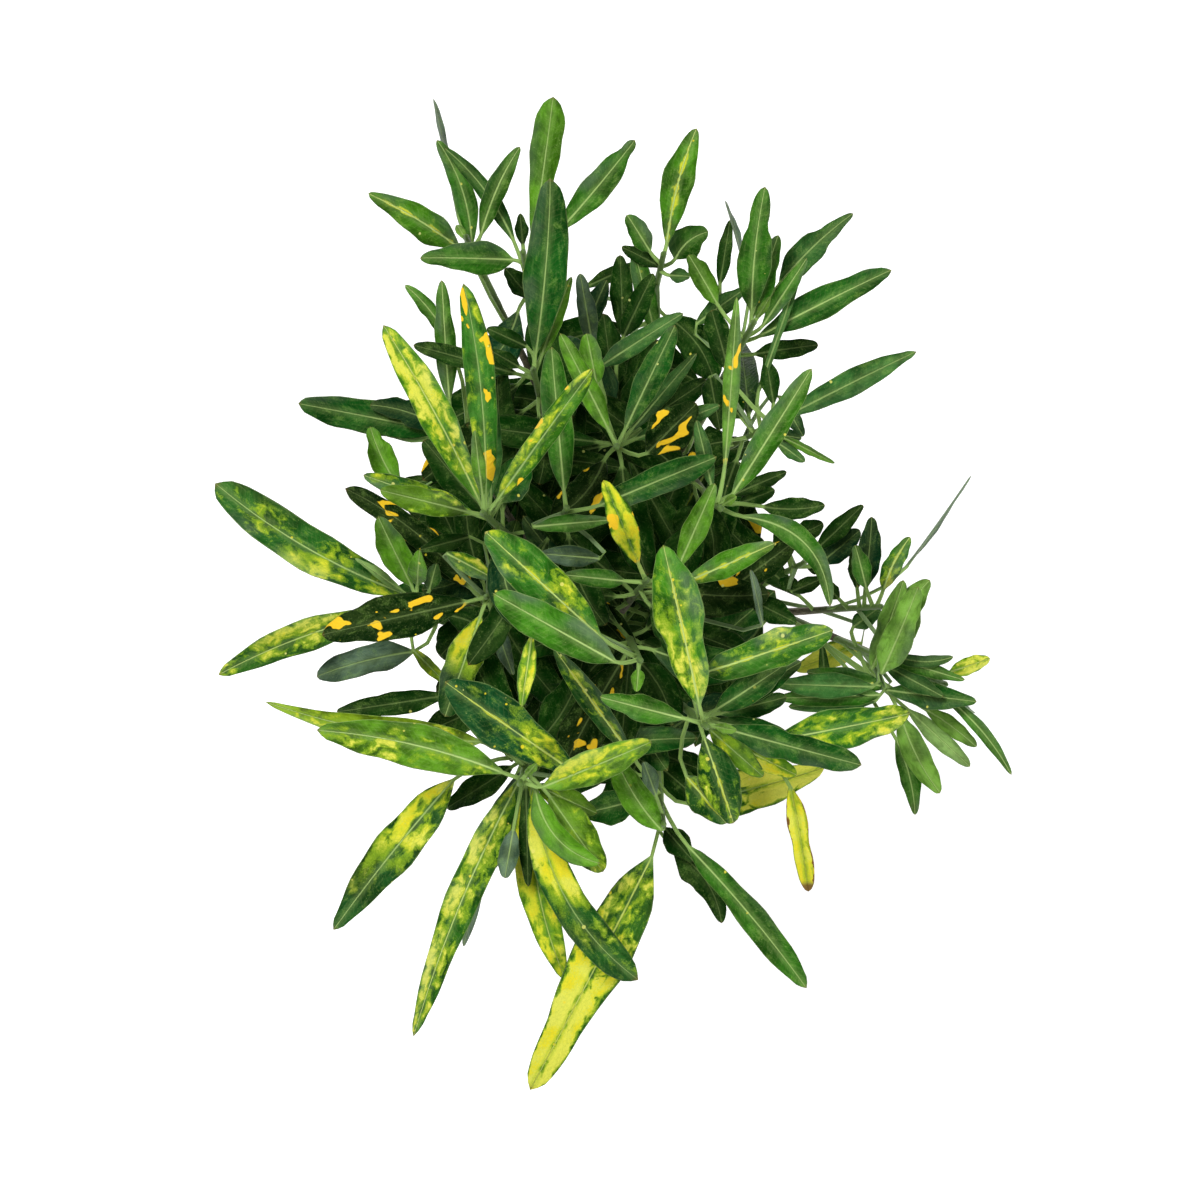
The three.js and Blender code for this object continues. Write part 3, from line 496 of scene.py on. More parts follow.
def sections(leaf, at):
    # along the midrib: its points, and there the ways along, across and up of the rolled section
    centre, along = bezier(leaf["rib"], at), bezierWay(leaf["rib"], at)
    level = direction(np.stack([-along[:, 1], along[:, 0], np.zeros(len(at))], 1))
    upward = direction(np.cross(along, level))
    across = level * np.cos(leaf["roll"]) + upward * np.sin(leaf["roll"])
    return centre, along, across, direction(np.cross(along, across))


def edgeWaves(leaf, at):  # how far the left and the right edge of the blade rise and fall
    turn = leaf["phase"] + bladeForm["turns"] * at
    return [bladeForm["wave"] * leaf["width"] * np.sin(turn + lag) for lag in (0, bladeForm["lag"])]


def solidPoints(leaf):  # the corners of the leaf's solid sections
    at, half = (np.array(values) for values in outlines[leaf["outline"]][:2])
    half = (half * leaf["width"] / 2)[:, None]
    centre, _, across, up = sections(leaf, at)
    left, right = (bladeForm["fold"] * half + wave[:, None] for wave in edgeWaves(leaf, at))
    out, thick = across * half, up * bladeForm["thick"] / 2
    edges = [centre + out + up * left, centre - out + up * right]
    return np.concatenate([*edges, centre + thick, centre - thick])


def near(points, cloud):  # which of the points lie at one of the cloud
    return (np.abs(points[:, None] - cloud[None]).max(-1).min(1)) < clear["reach"]


def standing(leaf, cloud):  # the place where the solid leaf stands in the frame, or None
    trials = [placed(leaf, lift) for lift in clear["lifts"]]
    there = near(np.array([trial["end"] for trial in trials]), cloud)
    lifts = [lift for lift, hit in zip(clear["lifts"], there) if hit]
    found = [placed(leaf, lift, bend) for lift in lifts for bend in clear["bends"]]
    scores = [near(solidPoints(trial), cloud).sum() for trial in found]
    return found[int(np.argmax(scores))] if max(scores, default=0) > clear["corners"] else None


def swayed(leaf):  # the midrib bent aside a few millimetres more than that of the solid
    shift = 2 * leaf["own"].get("sway", 0) * aside(leaf["end"] - leaf["foot"])
    return {**leaf, "rib": leaf["rib"] + np.array([[0], [1], [0]]) * shift}


def nodePoints(name):  # the corners of a solid of the frame, in millimetres
    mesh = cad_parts[name].data
    co = np.empty(len(mesh.vertices) * 3, np.float32)
    mesh.vertices.foreach_get("co", co)
    return np.unique(np.round(co.reshape(-1, 3) / metres, 3), axis=0)


# what a leaf is made of: rings along its stalk and blade, points across one face, real thickness, and how
# its widths, twist and edges vary. Starts and ends are shares of the blade's length
leafMake = {
    "stalkRings": 4, "rings": 22, "across": 9, "lowRings": 14, "lowAcross": 7, "crowd": 0.55,
    "stalk": 1.15, "flare": 1.35, "bow": (0.3, 0.4), "blade": 0.42, "swell": 0.05, "thinEnd": 0.04,
    "thin": 0.25, "ridge": 0.5, "ridgeWide": 0.3, "ridgeFall": 0.7, "ridgeStart": 0.05,
    "curl": 0.35, "foldStart": 0.06, "calmStart": 0.1, "calmEnd": 0.08, "edgeCurve": 1.5,
    "ripple": 0.016, "ripples": (31, 5), "waver": 0.06, "wavers": (9, 2), "quick": 0.6, "quicks": (23, 3),
    "otherEdge": 2.4, "twist": 0.3, "vary": 0.14, "varied": (1.3, 2.1, 3.7, 5.3),
    "pinch": 0.2, "pinchAt": (0.4, 0.85), "pinchWide": 0.07, "least": 0.02, "apart": 37.0, "places": 61,
    "rim": 0.999,
}


def halfWidths(leaf, at):
    # each leaf has a form of its own: its widths vary a little, and some are pinched in one place
    own, seed = leaf["own"], leaf["seed"]
    form = np.array(own.get("form", 1 + leafMake["vary"] * either(seed * np.array(leafMake["varied"]))))
    greatest = leaf["width"] / 2 * own.get("wide", 1)
    ats, halves, endAts, endHalves = outlines[leaf["outline"]]
    widths = np.array(halves) * form[np.linspace(0, 3, len(halves)).astype(int)]
    ends = np.array(endHalves) * form[-1]
    half = greatest * through(at, [0, *ats, *endAts, 1], [leafMake["stalk"] / greatest, *widths, *ends, 0])
    place = mix(*leafMake["pinchAt"], unit(seed * times["pinchAt"]))
    place, depth = own.get("pinch", (place, leafMake["pinch"] * max(0, either(seed * times["pinch"]))))
    pinch = depth * np.exp(-(((at - place) / leafMake["pinchWide"]) ** 2))
    return np.maximum(half * (1 - pinch), leafMake["least"])


def leafSkin(leaf, rings, across):
    # a closed skin: rings of points at u (across, -1 to 1) and t (root to tip). Height over the midrib is
    # fold and edge wave times a curve of u, plus or minus the thickness times sqrt(1 - u^2)
    s = np.linspace(0, 1, rings)
    at = mix(s, (1 - np.cos(np.pi * s)) / 2, leafMake["crowd"])
    centre, along, side, up = sections(leaf, at)
    twist = (leafMake["twist"] * either(leaf["seed"] + added["twist"]) * at**2)[:, None]
    side, up = side * np.cos(twist) + up * np.sin(twist), up * np.cos(twist) - side * np.sin(twist)
    # the stalk bows from the stem into the blade's own direction
    foot, root = leaf["foot"], bezier(leaf["line"], [leaf["share"]])[0]
    rise, ease = np.array(leafMake["bow"]) * np.linalg.norm(foot - root)
    controls = np.array([root, root + [0, 0, rise], foot - ease * along[0], foot])
    low = np.linspace(0, 1, leafMake["stalkRings"], endpoint=False)
    stalkAlong = bezierWay(controls, low)
    stalkSide = direction(side[0] - stalkAlong * (stalkAlong @ side[0])[:, None])
    stalkHalf = mix(leafMake["stalk"] * leafMake["flare"], leafMake["stalk"], low)
    centre = np.concatenate([bezier(controls, low), centre])
    side = np.concatenate([stalkSide, side])
    up = np.concatenate([np.cross(stalkAlong, stalkSide), up])
    walked = walkedAlong(centre)[:, None]
    t = np.concatenate([np.zeros(len(low)), at])[:, None]
    half = np.concatenate([stalkHalf, halfWidths(leaf, at)])[:, None]
    upper = np.sin(np.linspace(-np.pi / 2, np.pi / 2, across))[::-1]
    u = np.concatenate([upper, upper[-2:0:-1]])
    out = np.abs(u)
    face = np.concatenate([np.ones(across), -np.ones(across - 2)])
    calm = upTo(t, leafMake["calmStart"]) * upTo(1 - t, leafMake["calmEnd"])
    thin = np.maximum(upTo(1 - t, leafMake["thinEnd"]), leafMake["thin"])
    thick = mix(leafMake["blade"], leafMake["stalk"], np.exp(-t / leafMake["swell"])) * thin
    fold = bladeForm["fold"] * half * mix(out, u**2, leafMake["curl"]) * upTo(t, leafMake["foldStart"])
    wave = np.where(u > 0, *edgeWaves(leaf, t)) * out ** leafMake["edgeCurve"] * calm
    often, shift = leafMake["ripples"]
    ripple = leafMake["ripple"] * leaf["width"] * np.sin(often * t + shift * leaf["phase"]) * u**3 * calm
    ridge = leafMake["ridge"] * (face < 0) * (1 - upTo(out, leafMake["ridgeWide"]))
    ridge = ridge * (1 - leafMake["ridgeFall"] * t) * upTo(t, leafMake["ridgeStart"])
    height = fold + wave + ripple + thick * face * np.sqrt(np.clip(1 - u**2, 0, 1)) - ridge
    # the two edges waver in and out, each in its own time
    phases = leaf["phase"] + np.where(u > 0, 0, leafMake["otherEdge"])
    paces = leafMake["wavers"], leafMake["quicks"]
    slow, quick = (np.sin(often * t + shift * phases) for often, shift in paces)
    wide = half * u * (1 + leafMake["waver"] * (slow + leafMake["quick"] * quick) * out * calm)
    grid = centre[:, None] + side[:, None] * wide[..., None] + up[:, None] * height[..., None]
    grid[-1] = grid[-1].mean(0)
    place = leafMake["apart"] * (leaf["seed"] % leafMake["places"])
    return grid.reshape(-1, 3), ringFaces(len(t), len(u)), {
        "spot": triples(half * u, walked - walked[len(low)], place),
        "share": triples(u, t, (face < 0) * (out < leafMake["rim"])),
    }


def ringFaces(rings, count):
    # quads between neighbouring rings, facing out, and a fan of triangles over the first ring
    ring = np.arange(rings - 1)[:, None] * count
    side = np.arange(count)[None]
    after = (side + 1) % count
    quads = np.stack([ring + side, ring + after, ring + count + after, ring + count + side], -1)
    fan = np.arange(1, count - 1)
    return quads.reshape(-1, 4), np.stack([np.zeros_like(fan), fan + 1, fan], -1)


def makePiece(name, points, quads, triangles, attributes, finish, node, slot=None):
    # one mesh out of whole arrays, in metres, smooth, with its attributes, riding on the frame
    mesh = bpy.data.meshes.new(name)
    loops = np.concatenate([quads.ravel(), triangles.ravel()]).astype(np.int32)
    starts = np.concatenate([np.arange(len(quads)) * 4, len(quads) * 4 + np.arange(len(triangles)) * 3])
    mesh.vertices.add(len(points))
    mesh.vertices.foreach_set("co", (points * metres).astype(np.float32).ravel())
    mesh.loops.add(len(loops))
    mesh.loops.foreach_set("vertex_index", loops)
    mesh.polygons.add(len(starts))
    mesh.polygons.foreach_set("loop_start", starts.astype(np.int32))
    mesh.update(calc_edges=True)
    mesh.validate()
    mesh.shade_smooth()
    for key, values in attributes.items():
        made = mesh.attributes.new(key, "FLOAT_VECTOR", "POINT")
        made.data.foreach_set("vector", values.astype(np.float32).ravel())
    mesh.materials.append(finish)
    piece = bpy.data.objects.new(name, mesh)
    bpy.context.scene.collection.objects.link(piece)
    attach(piece, "root")
    if node:
        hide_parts(node)
    return piece


def joined(skins):  # several skins as one set of arrays
    offsets = np.cumsum([0] + [len(skin[0]) for skin in skins[:-1]])
    faces = [[skin[1][kind] + offset for skin, offset in zip(skins, offsets)] for kind in (0, 1)]
    attributes = {key: np.concatenate([skin[2][key] for skin in skins]) for key in skins[0][2]}
    return np.concatenate([skin[0] for skin in skins]), *map(np.concatenate, faces), attributes


class Value:
    # a socket that can be reckoned with: each operator adds one Math node
    def __init__(self, finish, socket):
        self.finish, self.socket = finish, socket

    def maths(self, operation, *values):
        return self.finish.node("Math", {"operation": operation}, dict(enumerate(values)))

    def __add__(self, other):
        return self.maths("ADD", self, other)

    def __radd__(self, other):
        return self.maths("ADD", other, self)

    def __sub__(self, other):
        return self.maths("SUBTRACT", self, other)

    def __rsub__(self, other):
        return self.maths("SUBTRACT", other, self)

    def __mul__(self, other):
        return self.maths("MULTIPLY", self, other)

    def __rmul__(self, other):
        return self.maths("MULTIPLY", other, self)

    def __pow__(self, other):
        return self.maths("POWER", self, other)

    def __abs__(self):
        return self.maths("ABSOLUTE", self)

    def wave(self):
        return self.maths("SINE", self)

    def most(self, other):
        return self.maths("MAXIMUM", self, other)

    def ramp(self, low, high):  # 0 below low, 1 above high, smooth between them
        sockets = {"Value": self, "From Min": low, "From Max": high}
        return self.finish.node("MapRange", {"interpolation_type": "SMOOTHSTEP"}, sockets)


class Finish:
    # the nodes of a material or of the room: node adds one by its type, its settings and its sockets
    def __init__(self, owner):
        self.owner = owner
        owner.use_nodes = True
        self.tree = owner.node_tree
        self.tree.nodes.clear()

    def node(self, kind, settings=None, sockets=None, output=0):
        made = self.tree.nodes.new("ShaderNode" + kind)
        for key, value in (settings or {}).items():
            setattr(made, key, value)
        for key, value in (sockets or {}).items():
            if isinstance(value, Value):
                self.tree.links.new(value.socket, made.inputs[key])
            else:
                made.inputs[key].default_value = value
        return Value(self, made.outputs[output])

    def read(self, name):  # the vector that a piece carries under that name
        return self.node("Attribute", {"attribute_name": name}, output="Vector")

    def parts(self, vector):
        split = self.node("SeparateXYZ", sockets={0: vector})
        outputs = split.socket.node.outputs
        return [Value(self, outputs[axis]) for axis in range(3)]

    def place(self):  # where a point of the piece is, in metres
        return self.node("TexCoord", output="Object")

    def stretched(self, vector, scales):
        return self.node("VectorMath", {"operation": "MULTIPLY"}, {0: vector, 1: scales}, output="Vector")

    def noise(self, vector, *settings):  # scale, detail, roughness and warp
        names = ("Scale", "Detail", "Roughness", "Distortion")
        return self.node("TexNoise", sockets={"Vector": vector, **dict(zip(names, settings))})

    def blend(self, share, first, second):  # from the first colour to the second
        return self.node("Mix", {"data_type": "RGBA"}, {0: share, 6: first, 7: second}, output=2)

    def layers(self, look, base, *tops):
        # a base with more laid over it, each by its share: a name is a colour of the look
        for share, top in tops:
            base = self.blend(share, tinted(look, base), tinted(look, top))
        return base

    def shine(self, colour, rough, height, depth, **fixed):
        # the closing shader: what varies is colour, roughness and height, the rest stays fixed
        bump = self.node("Bump", sockets={"Distance": depth, "Height": height}, output="Normal")
        sockets = {"Base Color": colour, "Roughness": rough, "Normal": bump}
        sockets.update({key.replace("_", " "): value for key, value in fixed.items()})
        return self.close("Material", self.node("BsdfPrincipled", sockets=sockets, output="BSDF"))

    def close(self, kind, shader):
        end = self.tree.nodes.new("ShaderNodeOutput" + kind)
        self.tree.links.new(shader.socket, end.inputs["Surface"])
        return self.owner


def newFinish(name):
    return Finish(bpy.data.materials.new(name))


def tint(colour, alpha=1.0):  # a colour as seen, 0 to 255, as light: the sRGB curve undone
    c = np.array(colour) / 255
    light = np.where(c <= 0.04045, c / 12.92, ((c + 0.055) / 1.055) ** 2.4)
    return (*light, alpha)


def tinted(look, colour):
    return tint(look[colour]) if isinstance(colour, str) else colour


# colours, then the patterns as scale, detail, roughness and warp, and the side veins
leafLook = {
    "gold": (224, 204, 36), "yellow": (206, 208, 52), "lemon": (218, 216, 88), "halo": (128, 162, 34),
    "blotch": (236, 192, 42), "rib": (178, 206, 124), "ribDim": (88, 132, 66), "shade": (3, 30, 4),
    "bright": (112, 166, 40), "underside": (118, 138, 110), "stalk": (138, 170, 92), "burn": (112, 78, 36),
    # next: the colour of small flecks, the pale colour of the painted sheen on one half, and the tint of
    # the real gloss
    "fleck": (206, 214, 130), "paintedSheen": (160, 186, 150), "sheen": (192, 228, 120),
    "broad": (0.045, 2), "fine": (0.17, 5, 0.54, 0.5), "grain": (1.1, 4, 0.6), "streak": (0.7, 3, 0.6),
    "patch": (0.09, 1.6, 0.45, 0.4), "net": 0.36, "dots": 0.15, "drawn": (1.25, 0.7, 1),
    "streaked": (1, 0.14, 1), "vein": 3.6, "lean": 0.8, "veinDrift": 14, "veinSwing": 9,
    "gloss": 0.1, "depth": 0.0006,
}


def leafFinish():
    f, look = newFinish("crotonLeaf"), leafLook
    spot = f.read("spot")  # millimetres across and along the blade, and a place of its own for each leaf
    x, y, _ = f.parts(spot)
    u, t, below = f.parts(f.read("share"))
    goldRib, blotch, mottle = f.parts(f.read("goldOne"))
    flecks, flush, rib = f.parts(f.read("goldTwo"))
    bias, tone, burn = f.parts(f.read("marks"))
    off, side = abs(x), abs(u)
    long = f.stretched(spot, look["drawn"])
    broad, grain = f.noise(spot, *look["broad"]), f.noise(spot, *look["grain"])
    fine, patch = f.noise(long, *look["fine"]), f.noise(long, *look["patch"])
    streak = f.noise(f.stretched(spot, look["streaked"]), *look["streak"])
    drift, swing, grit, warmth = broad - 0.5, fine - 0.5, grain - 0.5, tone - 0.5
    # side veins leave the midrib at a slant: a wave over y less a share of the way out
    slant = (y - off * look["lean"]) * (2 * np.pi / look["vein"])
    wave = (slant + drift * look["veinDrift"] + swing * look["veinSwing"]).wave()
    veins = wave.ramp(0.55, 1.0) * side.ramp(1.0, 0.5)
    ribHalf = 0.75 - t * 0.42
    ribLine = 1 - off.ramp(ribHalf * 0.4, ribHalf * 1.3)
    # greens: darker in slow clouds and towards the rim, brighter in a few, paler along the rib and veins;
    # then fine streaks along the blade, and a pale grain
    green = f.layers(
        look, f.read("green"),
        (broad.ramp(0.38, 0.64) * 0.6, "shade"),
        (fine.ramp(0.52, 0.34) * 0.34, "shade"),
        (fine.ramp(0.52, 0.72) * (0.06 + rib * 0.16), "bright"),
        (side.ramp(0.6, 1.0) * 0.25, "shade"),
        ((1 - off.ramp(0.5, 4.5)) * 0.16 * rib, "rib"),
        (veins * 0.05 * rib, "rib"),
        (streak.ramp(0.5, 0.7) * 0.1 * rib, "rib"),
        (streak.ramp(0.5, 0.3) * 0.24, "shade"),
        ((grain + swing).ramp(0.5, 0.8) * 0.1, "rib"),
    )
    # gold: soft mottling inside a yellow-green halo, cut up by a green net, more of it on one half, most of
    # it halfway out between the rib and the rim
    toTip = flush.most(0) * (t + swing * 0.5).ramp(0.2, 0.55)
    toBase = (0 - flush).most(0) * (t + swing * 0.6).ramp(0.68, 0.36)
    lying = side.ramp(1.2, 0.6) * (0.55 + off.ramp(0.4, 3.0) * 0.45)
    cover = (mottle + toTip + toBase) * (1 + bias * u) * lying
    there, wholly = cover.ramp(0.0, 0.1), cover.ramp(0.6, 1.0)
    level = 0.625 - cover * 0.22
    field = fine * 0.6 + broad * 0.4 + grit * 0.12
    halo = field.ramp(level - 0.1, level) * there
    core = field.ramp(level - 0.02, level + 0.08) * there
    rich = (field + warmth * 0.1).ramp(level + 0.05, level + 0.16) * there
    cells = f.node("TexVoronoi", {"feature": "DISTANCE_TO_EDGE"}, {"Vector": long, "Scale": look["net"]})
    net = (1 - cells.ramp(0.02, 0.16)) * (0.3 - wholly * 0.2)
    pale = (broad + warmth * 0.5 + grit * 0.4).ramp(0.5, 0.66)
    yellow = f.layers(look, "yellow", (pale * 0.8, "lemon"), (rich * (1 - pale) * 0.7, "gold"))
    # the gold along the rib is a band that swells and narrows; then sharp blotches and small round flecks
    band = goldRib * (0.4 + (fine - 0.38) * 12).most(0) * t.ramp(0.97, 0.6)
    banded = (1 - off.ramp(band * 0.5, band * 1.3 + 0.2)) * goldRib.ramp(0, 0.15)
    edge = 0.7 - blotch * 0.26
    sharp = patch.ramp(edge - 0.006, edge + 0.008) * blotch.ramp(0, 0.05)
    dots = f.node("TexVoronoi", sockets={"Vector": spot, "Scale": look["dots"], "Randomness": 1.0})
    dice, size, hue = f.parts(Value(f, dots.socket.node.outputs["Color"]))
    few = 1 - flecks * 0.7
    dot = (1 - dots.ramp(0.05 + size * 0.1, 0.1 + size * 0.12)) * dice.ramp(few, few + 0.01)
    # painted sheen: one half of many blades is paler, a painted reflection laid into the colour; scorched
    # tips and rims
    paintedSheen = (u * (1 - tone * 2)).ramp(0.05, 0.5) * broad.ramp(0.35, 0.65) * rib.ramp(0.25, 1.0)
    scorched = (side + swing * 1.6).ramp(0.9, 0.98) * burn
    scorched = scorched + t.ramp(0.97 - burn * 0.1, 1 - burn * 0.06) * (0.5 + burn * 0.45)
    leaf = f.layers(
        look, green,
        (halo * 0.8, "halo"),
        (core * (1 - net) * (0.95 - grain.ramp(0.5, 0.7) * 0.25), yellow),
        (banded * 0.85, yellow),
        (sharp * 0.95, "blotch"),
        (dot * 0.85, f.layers(look, "gold", (hue, "fleck"))),
        (grain.ramp(0.67, 0.72) * flecks * 0.7, "fleck"),
        # the painted sheen, a pale painted reflection on one half of the blade
        (paintedSheen * 0.24, "paintedSheen"),
        # a painted highlight: a thin pale line along each rim, in the colour of the rib
        (side.ramp(0.94, 0.985) * rib * 0.4, "rib"),
        ((1 - off.ramp(0.4, 2.2 + fine * 2)) * wholly * 0.6, "halo"),
        (ribLine * rib * (1 - t * 0.25), f.layers(look, "rib", (core.most(wholly), "ribDim"))),
        (scorched, "burn"),
        ((1 - t.ramp(0.0, 0.05)) * 0.9, "stalk"),
        (below * 0.6, "underside"),
    )
    rough = 0.34 + grit * 0.25 + swing * 0.4 + below * 0.25
    height = (veins * 0.1 - ribLine * 0.8) + grain * 0.25 + fine * 1.6 + wave * 0.05
    gloss = {"Specular_IOR_Level": look["gloss"], "Specular_Tint": tint(look["sheen"])}
    return f.shine(leaf, rough, height, look["depth"], **gloss)


barkMake = {
    "sides": 12, "gap": 4.5, "scar": 0.09, "scars": 11, "sharp": 6, "knot": 0.12, "knots": (17, 29),
    "deep": 44, "buried": 6, "bud": ([0.35, 0.65, 0.86, 1.0], [1.15, 0.85, 0.5, 0.05]), "measure": 40,
    "apart": 23.0,
}
barkLook = {
    "wood": (108, 100, 74), "dark": (62, 56, 40), "young": (92, 122, 54), "speck": (158, 150, 122),
    "drawn": (1.3, 0.16, 1.0), "streak": (0.8, 4, 0.6), "specks": (0.9, 2), "depth": 0.0007,
}


def barkFinish():
    f, look = newFinish("crotonBark"), barkLook
    spot = f.read("spot")
    _, y, _ = f.parts(spot)
    age = f.parts(f.read("share"))[2]  # 0 on old wood, 1 on the green tip
    streak = f.noise(f.stretched(spot, look["drawn"]), *look["streak"])
    specks = f.noise(spot, *look["specks"]).ramp(0.66, 0.72)
    scar = (y * (2 * np.pi / barkMake["scars"])).wave().ramp(0.9, 1.0)
    wood = f.layers(
        look, "wood", (streak.ramp(0.35, 0.65), "dark"), (specks * 0.6, "speck"), (scar * 0.5, "dark"),
        (age.ramp(0.35, 0.8), "young"),
    )
    rough = 0.82 - age * 0.3 + (streak - 0.5) * 0.2
    return f.shine(wood, rough, streak * 0.8 + specks * 0.4 - scar * 0.6, look["depth"])


earthLook = {
    "peat": (60, 43, 30), "damp": (30, 21, 15), "fibre": (118, 90, 60), "lumps": (160, 5, 0.65),
    "dust": (900, 3, 0.6), "drawn": (900, 170, 500), "fibres": (1, 2, 0.5, 1.5), "depth": 0.0025,
}


def earthFinish(name, lift):
    f, look = newFinish(name), earthLook
    place = f.place()
    lumps, dust = f.noise(place, *look["lumps"]), f.noise(place, *look["dust"])
    fibre = f.noise(f.stretched(place, look["drawn"]), *look["fibres"]).ramp(0.68, 0.74)
    dry, dusty = lumps.ramp(0.36, 0.62), dust.ramp(0.5, 0.8) * lift
    earth = f.layers(look, "damp", (dry, "peat"), (fibre * 0.7, "fibre"), (dusty, "fibre"))
    return f.shine(earth, 0.88 + lumps * 0.1, lumps * 1.2 + dust * 0.3, look["depth"])


clayLook = {
    "clay": (184, 108, 72), "burnt": (150, 80, 52), "bloom": (214, 184, 160), "damp": (134, 74, 50),
    "clouds": (14, 4, 0.6, 0.6), "grit": (420, 3, 0.7), "stain": (30, 5, 0.7, 1.0), "turned": (3, 3, 130),
    "rings": (1, 3, 0.5), "depth": 0.0008,
}


def clayFinish():
    f, look = newFinish("firedClay"), clayLook
    place = f.place()
    _, _, z = f.parts(place)
    clouds, grit, stain = (f.noise(place, *look[key]) for key in ("clouds", "grit", "stain"))
    rings = f.noise(f.stretched(place, look["turned"]), *look["rings"])  # faint turning marks on the wall
    low = 1 - (z + (clouds - 0.5) * 0.05).ramp(0.0, 0.045)
    clay = f.layers(
        look, "clay", (clouds.ramp(0.3, 0.7), "burnt"), (rings.ramp(0.45, 0.7) * 0.25, "burnt"),
        (stain.ramp(0.56, 0.72) * z.ramp(0.02, 0.16) * 0.45, "bloom"), (low * 0.55, "damp"),
        (grit.ramp(0.62, 0.72) * 0.3, "bloom"),
    )
    return f.shine(clay, 0.8 + (grit - 0.5) * 0.3, grit * 0.35 + rings * 0.9, look["depth"])


# where every leaf stands, stem by stem: those of the rows, then the lower ones, then the extras
lines, leaves = {}, {}
seed = lowSeed = 0
for name, stem in stems.items():
    cloud = nodePoints("stem_" + name)
    tips = [seenAt(shoot["tip"], shoot["top"]) for shoot in stem]
    main = stemLine(np.array([*roots[name], stemForm["foot"]], float), tips[0])
    forks = [onStem(main, [shareAt(main, shoot["fork"])])[0] for shoot in stem[1:]]
    lines[name] = [main] + [stemLine(fork, tip) for fork, tip in zip(forks, tips[1:])]
    leaves[name] = []
    for line, shoot in zip(lines[name], stem):
        for order, row in enumerate(shoot["leaves"]):
            seed += 1
            leaf = readLeaf(line, shoot, row, order, seed)
            found = None if "moved" in leaf["own"] else standing(leaf, cloud)
            if found is None:
                print("leaf", name, row[:2], "has a place of its own")
            leaves[name].append(swayed(found or placed(leaf)))
    for line, shoot in zip(lines[name], stem):
        level = min(shoot["top"] - under["top"], under["high"])
        while level > under["low"]:
            lowSeed += 1
            share = shareAt(line, level)
            if share > under["fork"]:
                found = standing(hiddenLeaf(line, share, under, lowSeed), cloud)
                leaves[name] += [found] if found else []
            level -= under["pitch"][0 if level < under["dense"] else 1]
for count, (name, shoot, row) in enumerate(extras):
    leaf = readLeaf(lines[name][shoot], stems[name][shoot], row, 0, extraSeed + count)
    leaves[name].append(placed(leaf))
print("leaves found in the frame:", {name: len(found) for name, found in leaves.items()})

# dark leaves between those of the solids, wherever a stem has room for one: levels on the stem, what is
# drawn for each, the gap it needs, the level it stays above, and the oval that its tip stays inside
fillMake = {
    "top": 40, "high": 470, "low": 214, "pitch": 10, "fork": 0.03,
    "turn": (1.37, 0.21), "draws": (11, 13, 17), "reach": (52, 104), "width": (1, 1), "vary": (17, 25),
    "slopes": (-0.3, 0.25), "seed": 900,
    "kinds": ["dark", "deep", "dark", "blackGold", "dark", "teal", "dark", "dark"],
    "clear": 4.5, "lifts": [0, 9, -9, 18, -18], "rim": 190, "middle": [-8, 20], "oval": [118, 146],
    "along": (0.04, 0.98, 12), "across": 5, "taper": (0.9, 0.6),
}


def coarse(leaf):  # a few points all over the blade, and the ball that holds them
    at = np.linspace(*fillMake["along"])
    centre, _, across, up = sections(leaf, at)
    lean, blunt = fillMake["taper"]
    half = (leaf["width"] / 2 * np.sin(np.pi * at**lean) ** blunt)[:, None]
    u = np.linspace(-1, 1, fillMake["across"])
    out = across[:, None] * (half * u)[..., None]
    rise = up[:, None] * (bladeForm["fold"] * half * np.abs(u))[..., None]
    points = (centre[:, None] + out + rise).reshape(-1, 3)
    middle = points.mean(0)
    return points, middle, np.linalg.norm(points - middle, axis=1).max()


def freePlace(leaf, others):  # the first place where the leaf stays clear of the others, or None
    for lift in fillMake["lifts"]:
        trial = placed(leaf, lift)
        points, middle, radius = coarse(trial)
        gaps = [
            np.linalg.norm(points[:, None] - other[None], axis=-1).min() for other, centre, size in others
            if np.linalg.norm(middle - centre) < radius + size + fillMake["clear"]
        ]
        if points[:, 2].min() > fillMake["rim"] and all(gap > fillMake["clear"] for gap in gaps):
            return trial
    return None


others = [coarse(leaf) for found in leaves.values() for leaf in found]
before = len(others)
fillSeed = 0
for name, stem in stems.items():
    for line, shoot in zip(lines[name], stem):
        top = min(shoot["top"] - fillMake["top"], fillMake["high"])
        for level in np.arange(top, fillMake["low"], -fillMake["pitch"]):
            fillSeed += 1
            share = shareAt(line, level)
            leaf = hiddenLeaf(line, max(share, fillMake["fork"]), fillMake, fillSeed)
            inside = np.hypot(*((leaf["tip"] - fillMake["middle"]) / fillMake["oval"])) <= 1
            found = freePlace(leaf, others) if inside and share >= fillMake["fork"] else None
            if found:
                others.append(coarse(found))
                leaves[name].append(found)
print("dark leaves added between them:", len(others) - before)

# what every point of a leaf carries, three by three, and how much its green, bias and tone vary
carried = {
    "goldOne": ("goldRib", "blotch", "mottle"), "goldTwo": ("flecks", "flush", "rib"),
    "marks": ("bias", "tone", "burn"),
}
paintVary = {"green": 0.18, "bias": 0.7}


def painted(leaf, count):
    seed = leaf["seed"]
    bias, tone = paintVary["bias"] * either(seed * times["bias"]), unit(seed * times["tone"])
    look = {"bias": bias, "tone": tone, **leafKinds[leaf["kind"]], **leaf["own"]}
    vary = 1 + paintVary["green"] * either(seed * times["green"])
    green = np.array(tint(look["green"])[:3]) * vary
    values = {name: [look.get(key, 0) for key in keys] for name, keys in carried.items()}
    return {name: np.tile(value, (count, 1)) for name, value in {"green": green, **values}.items()}


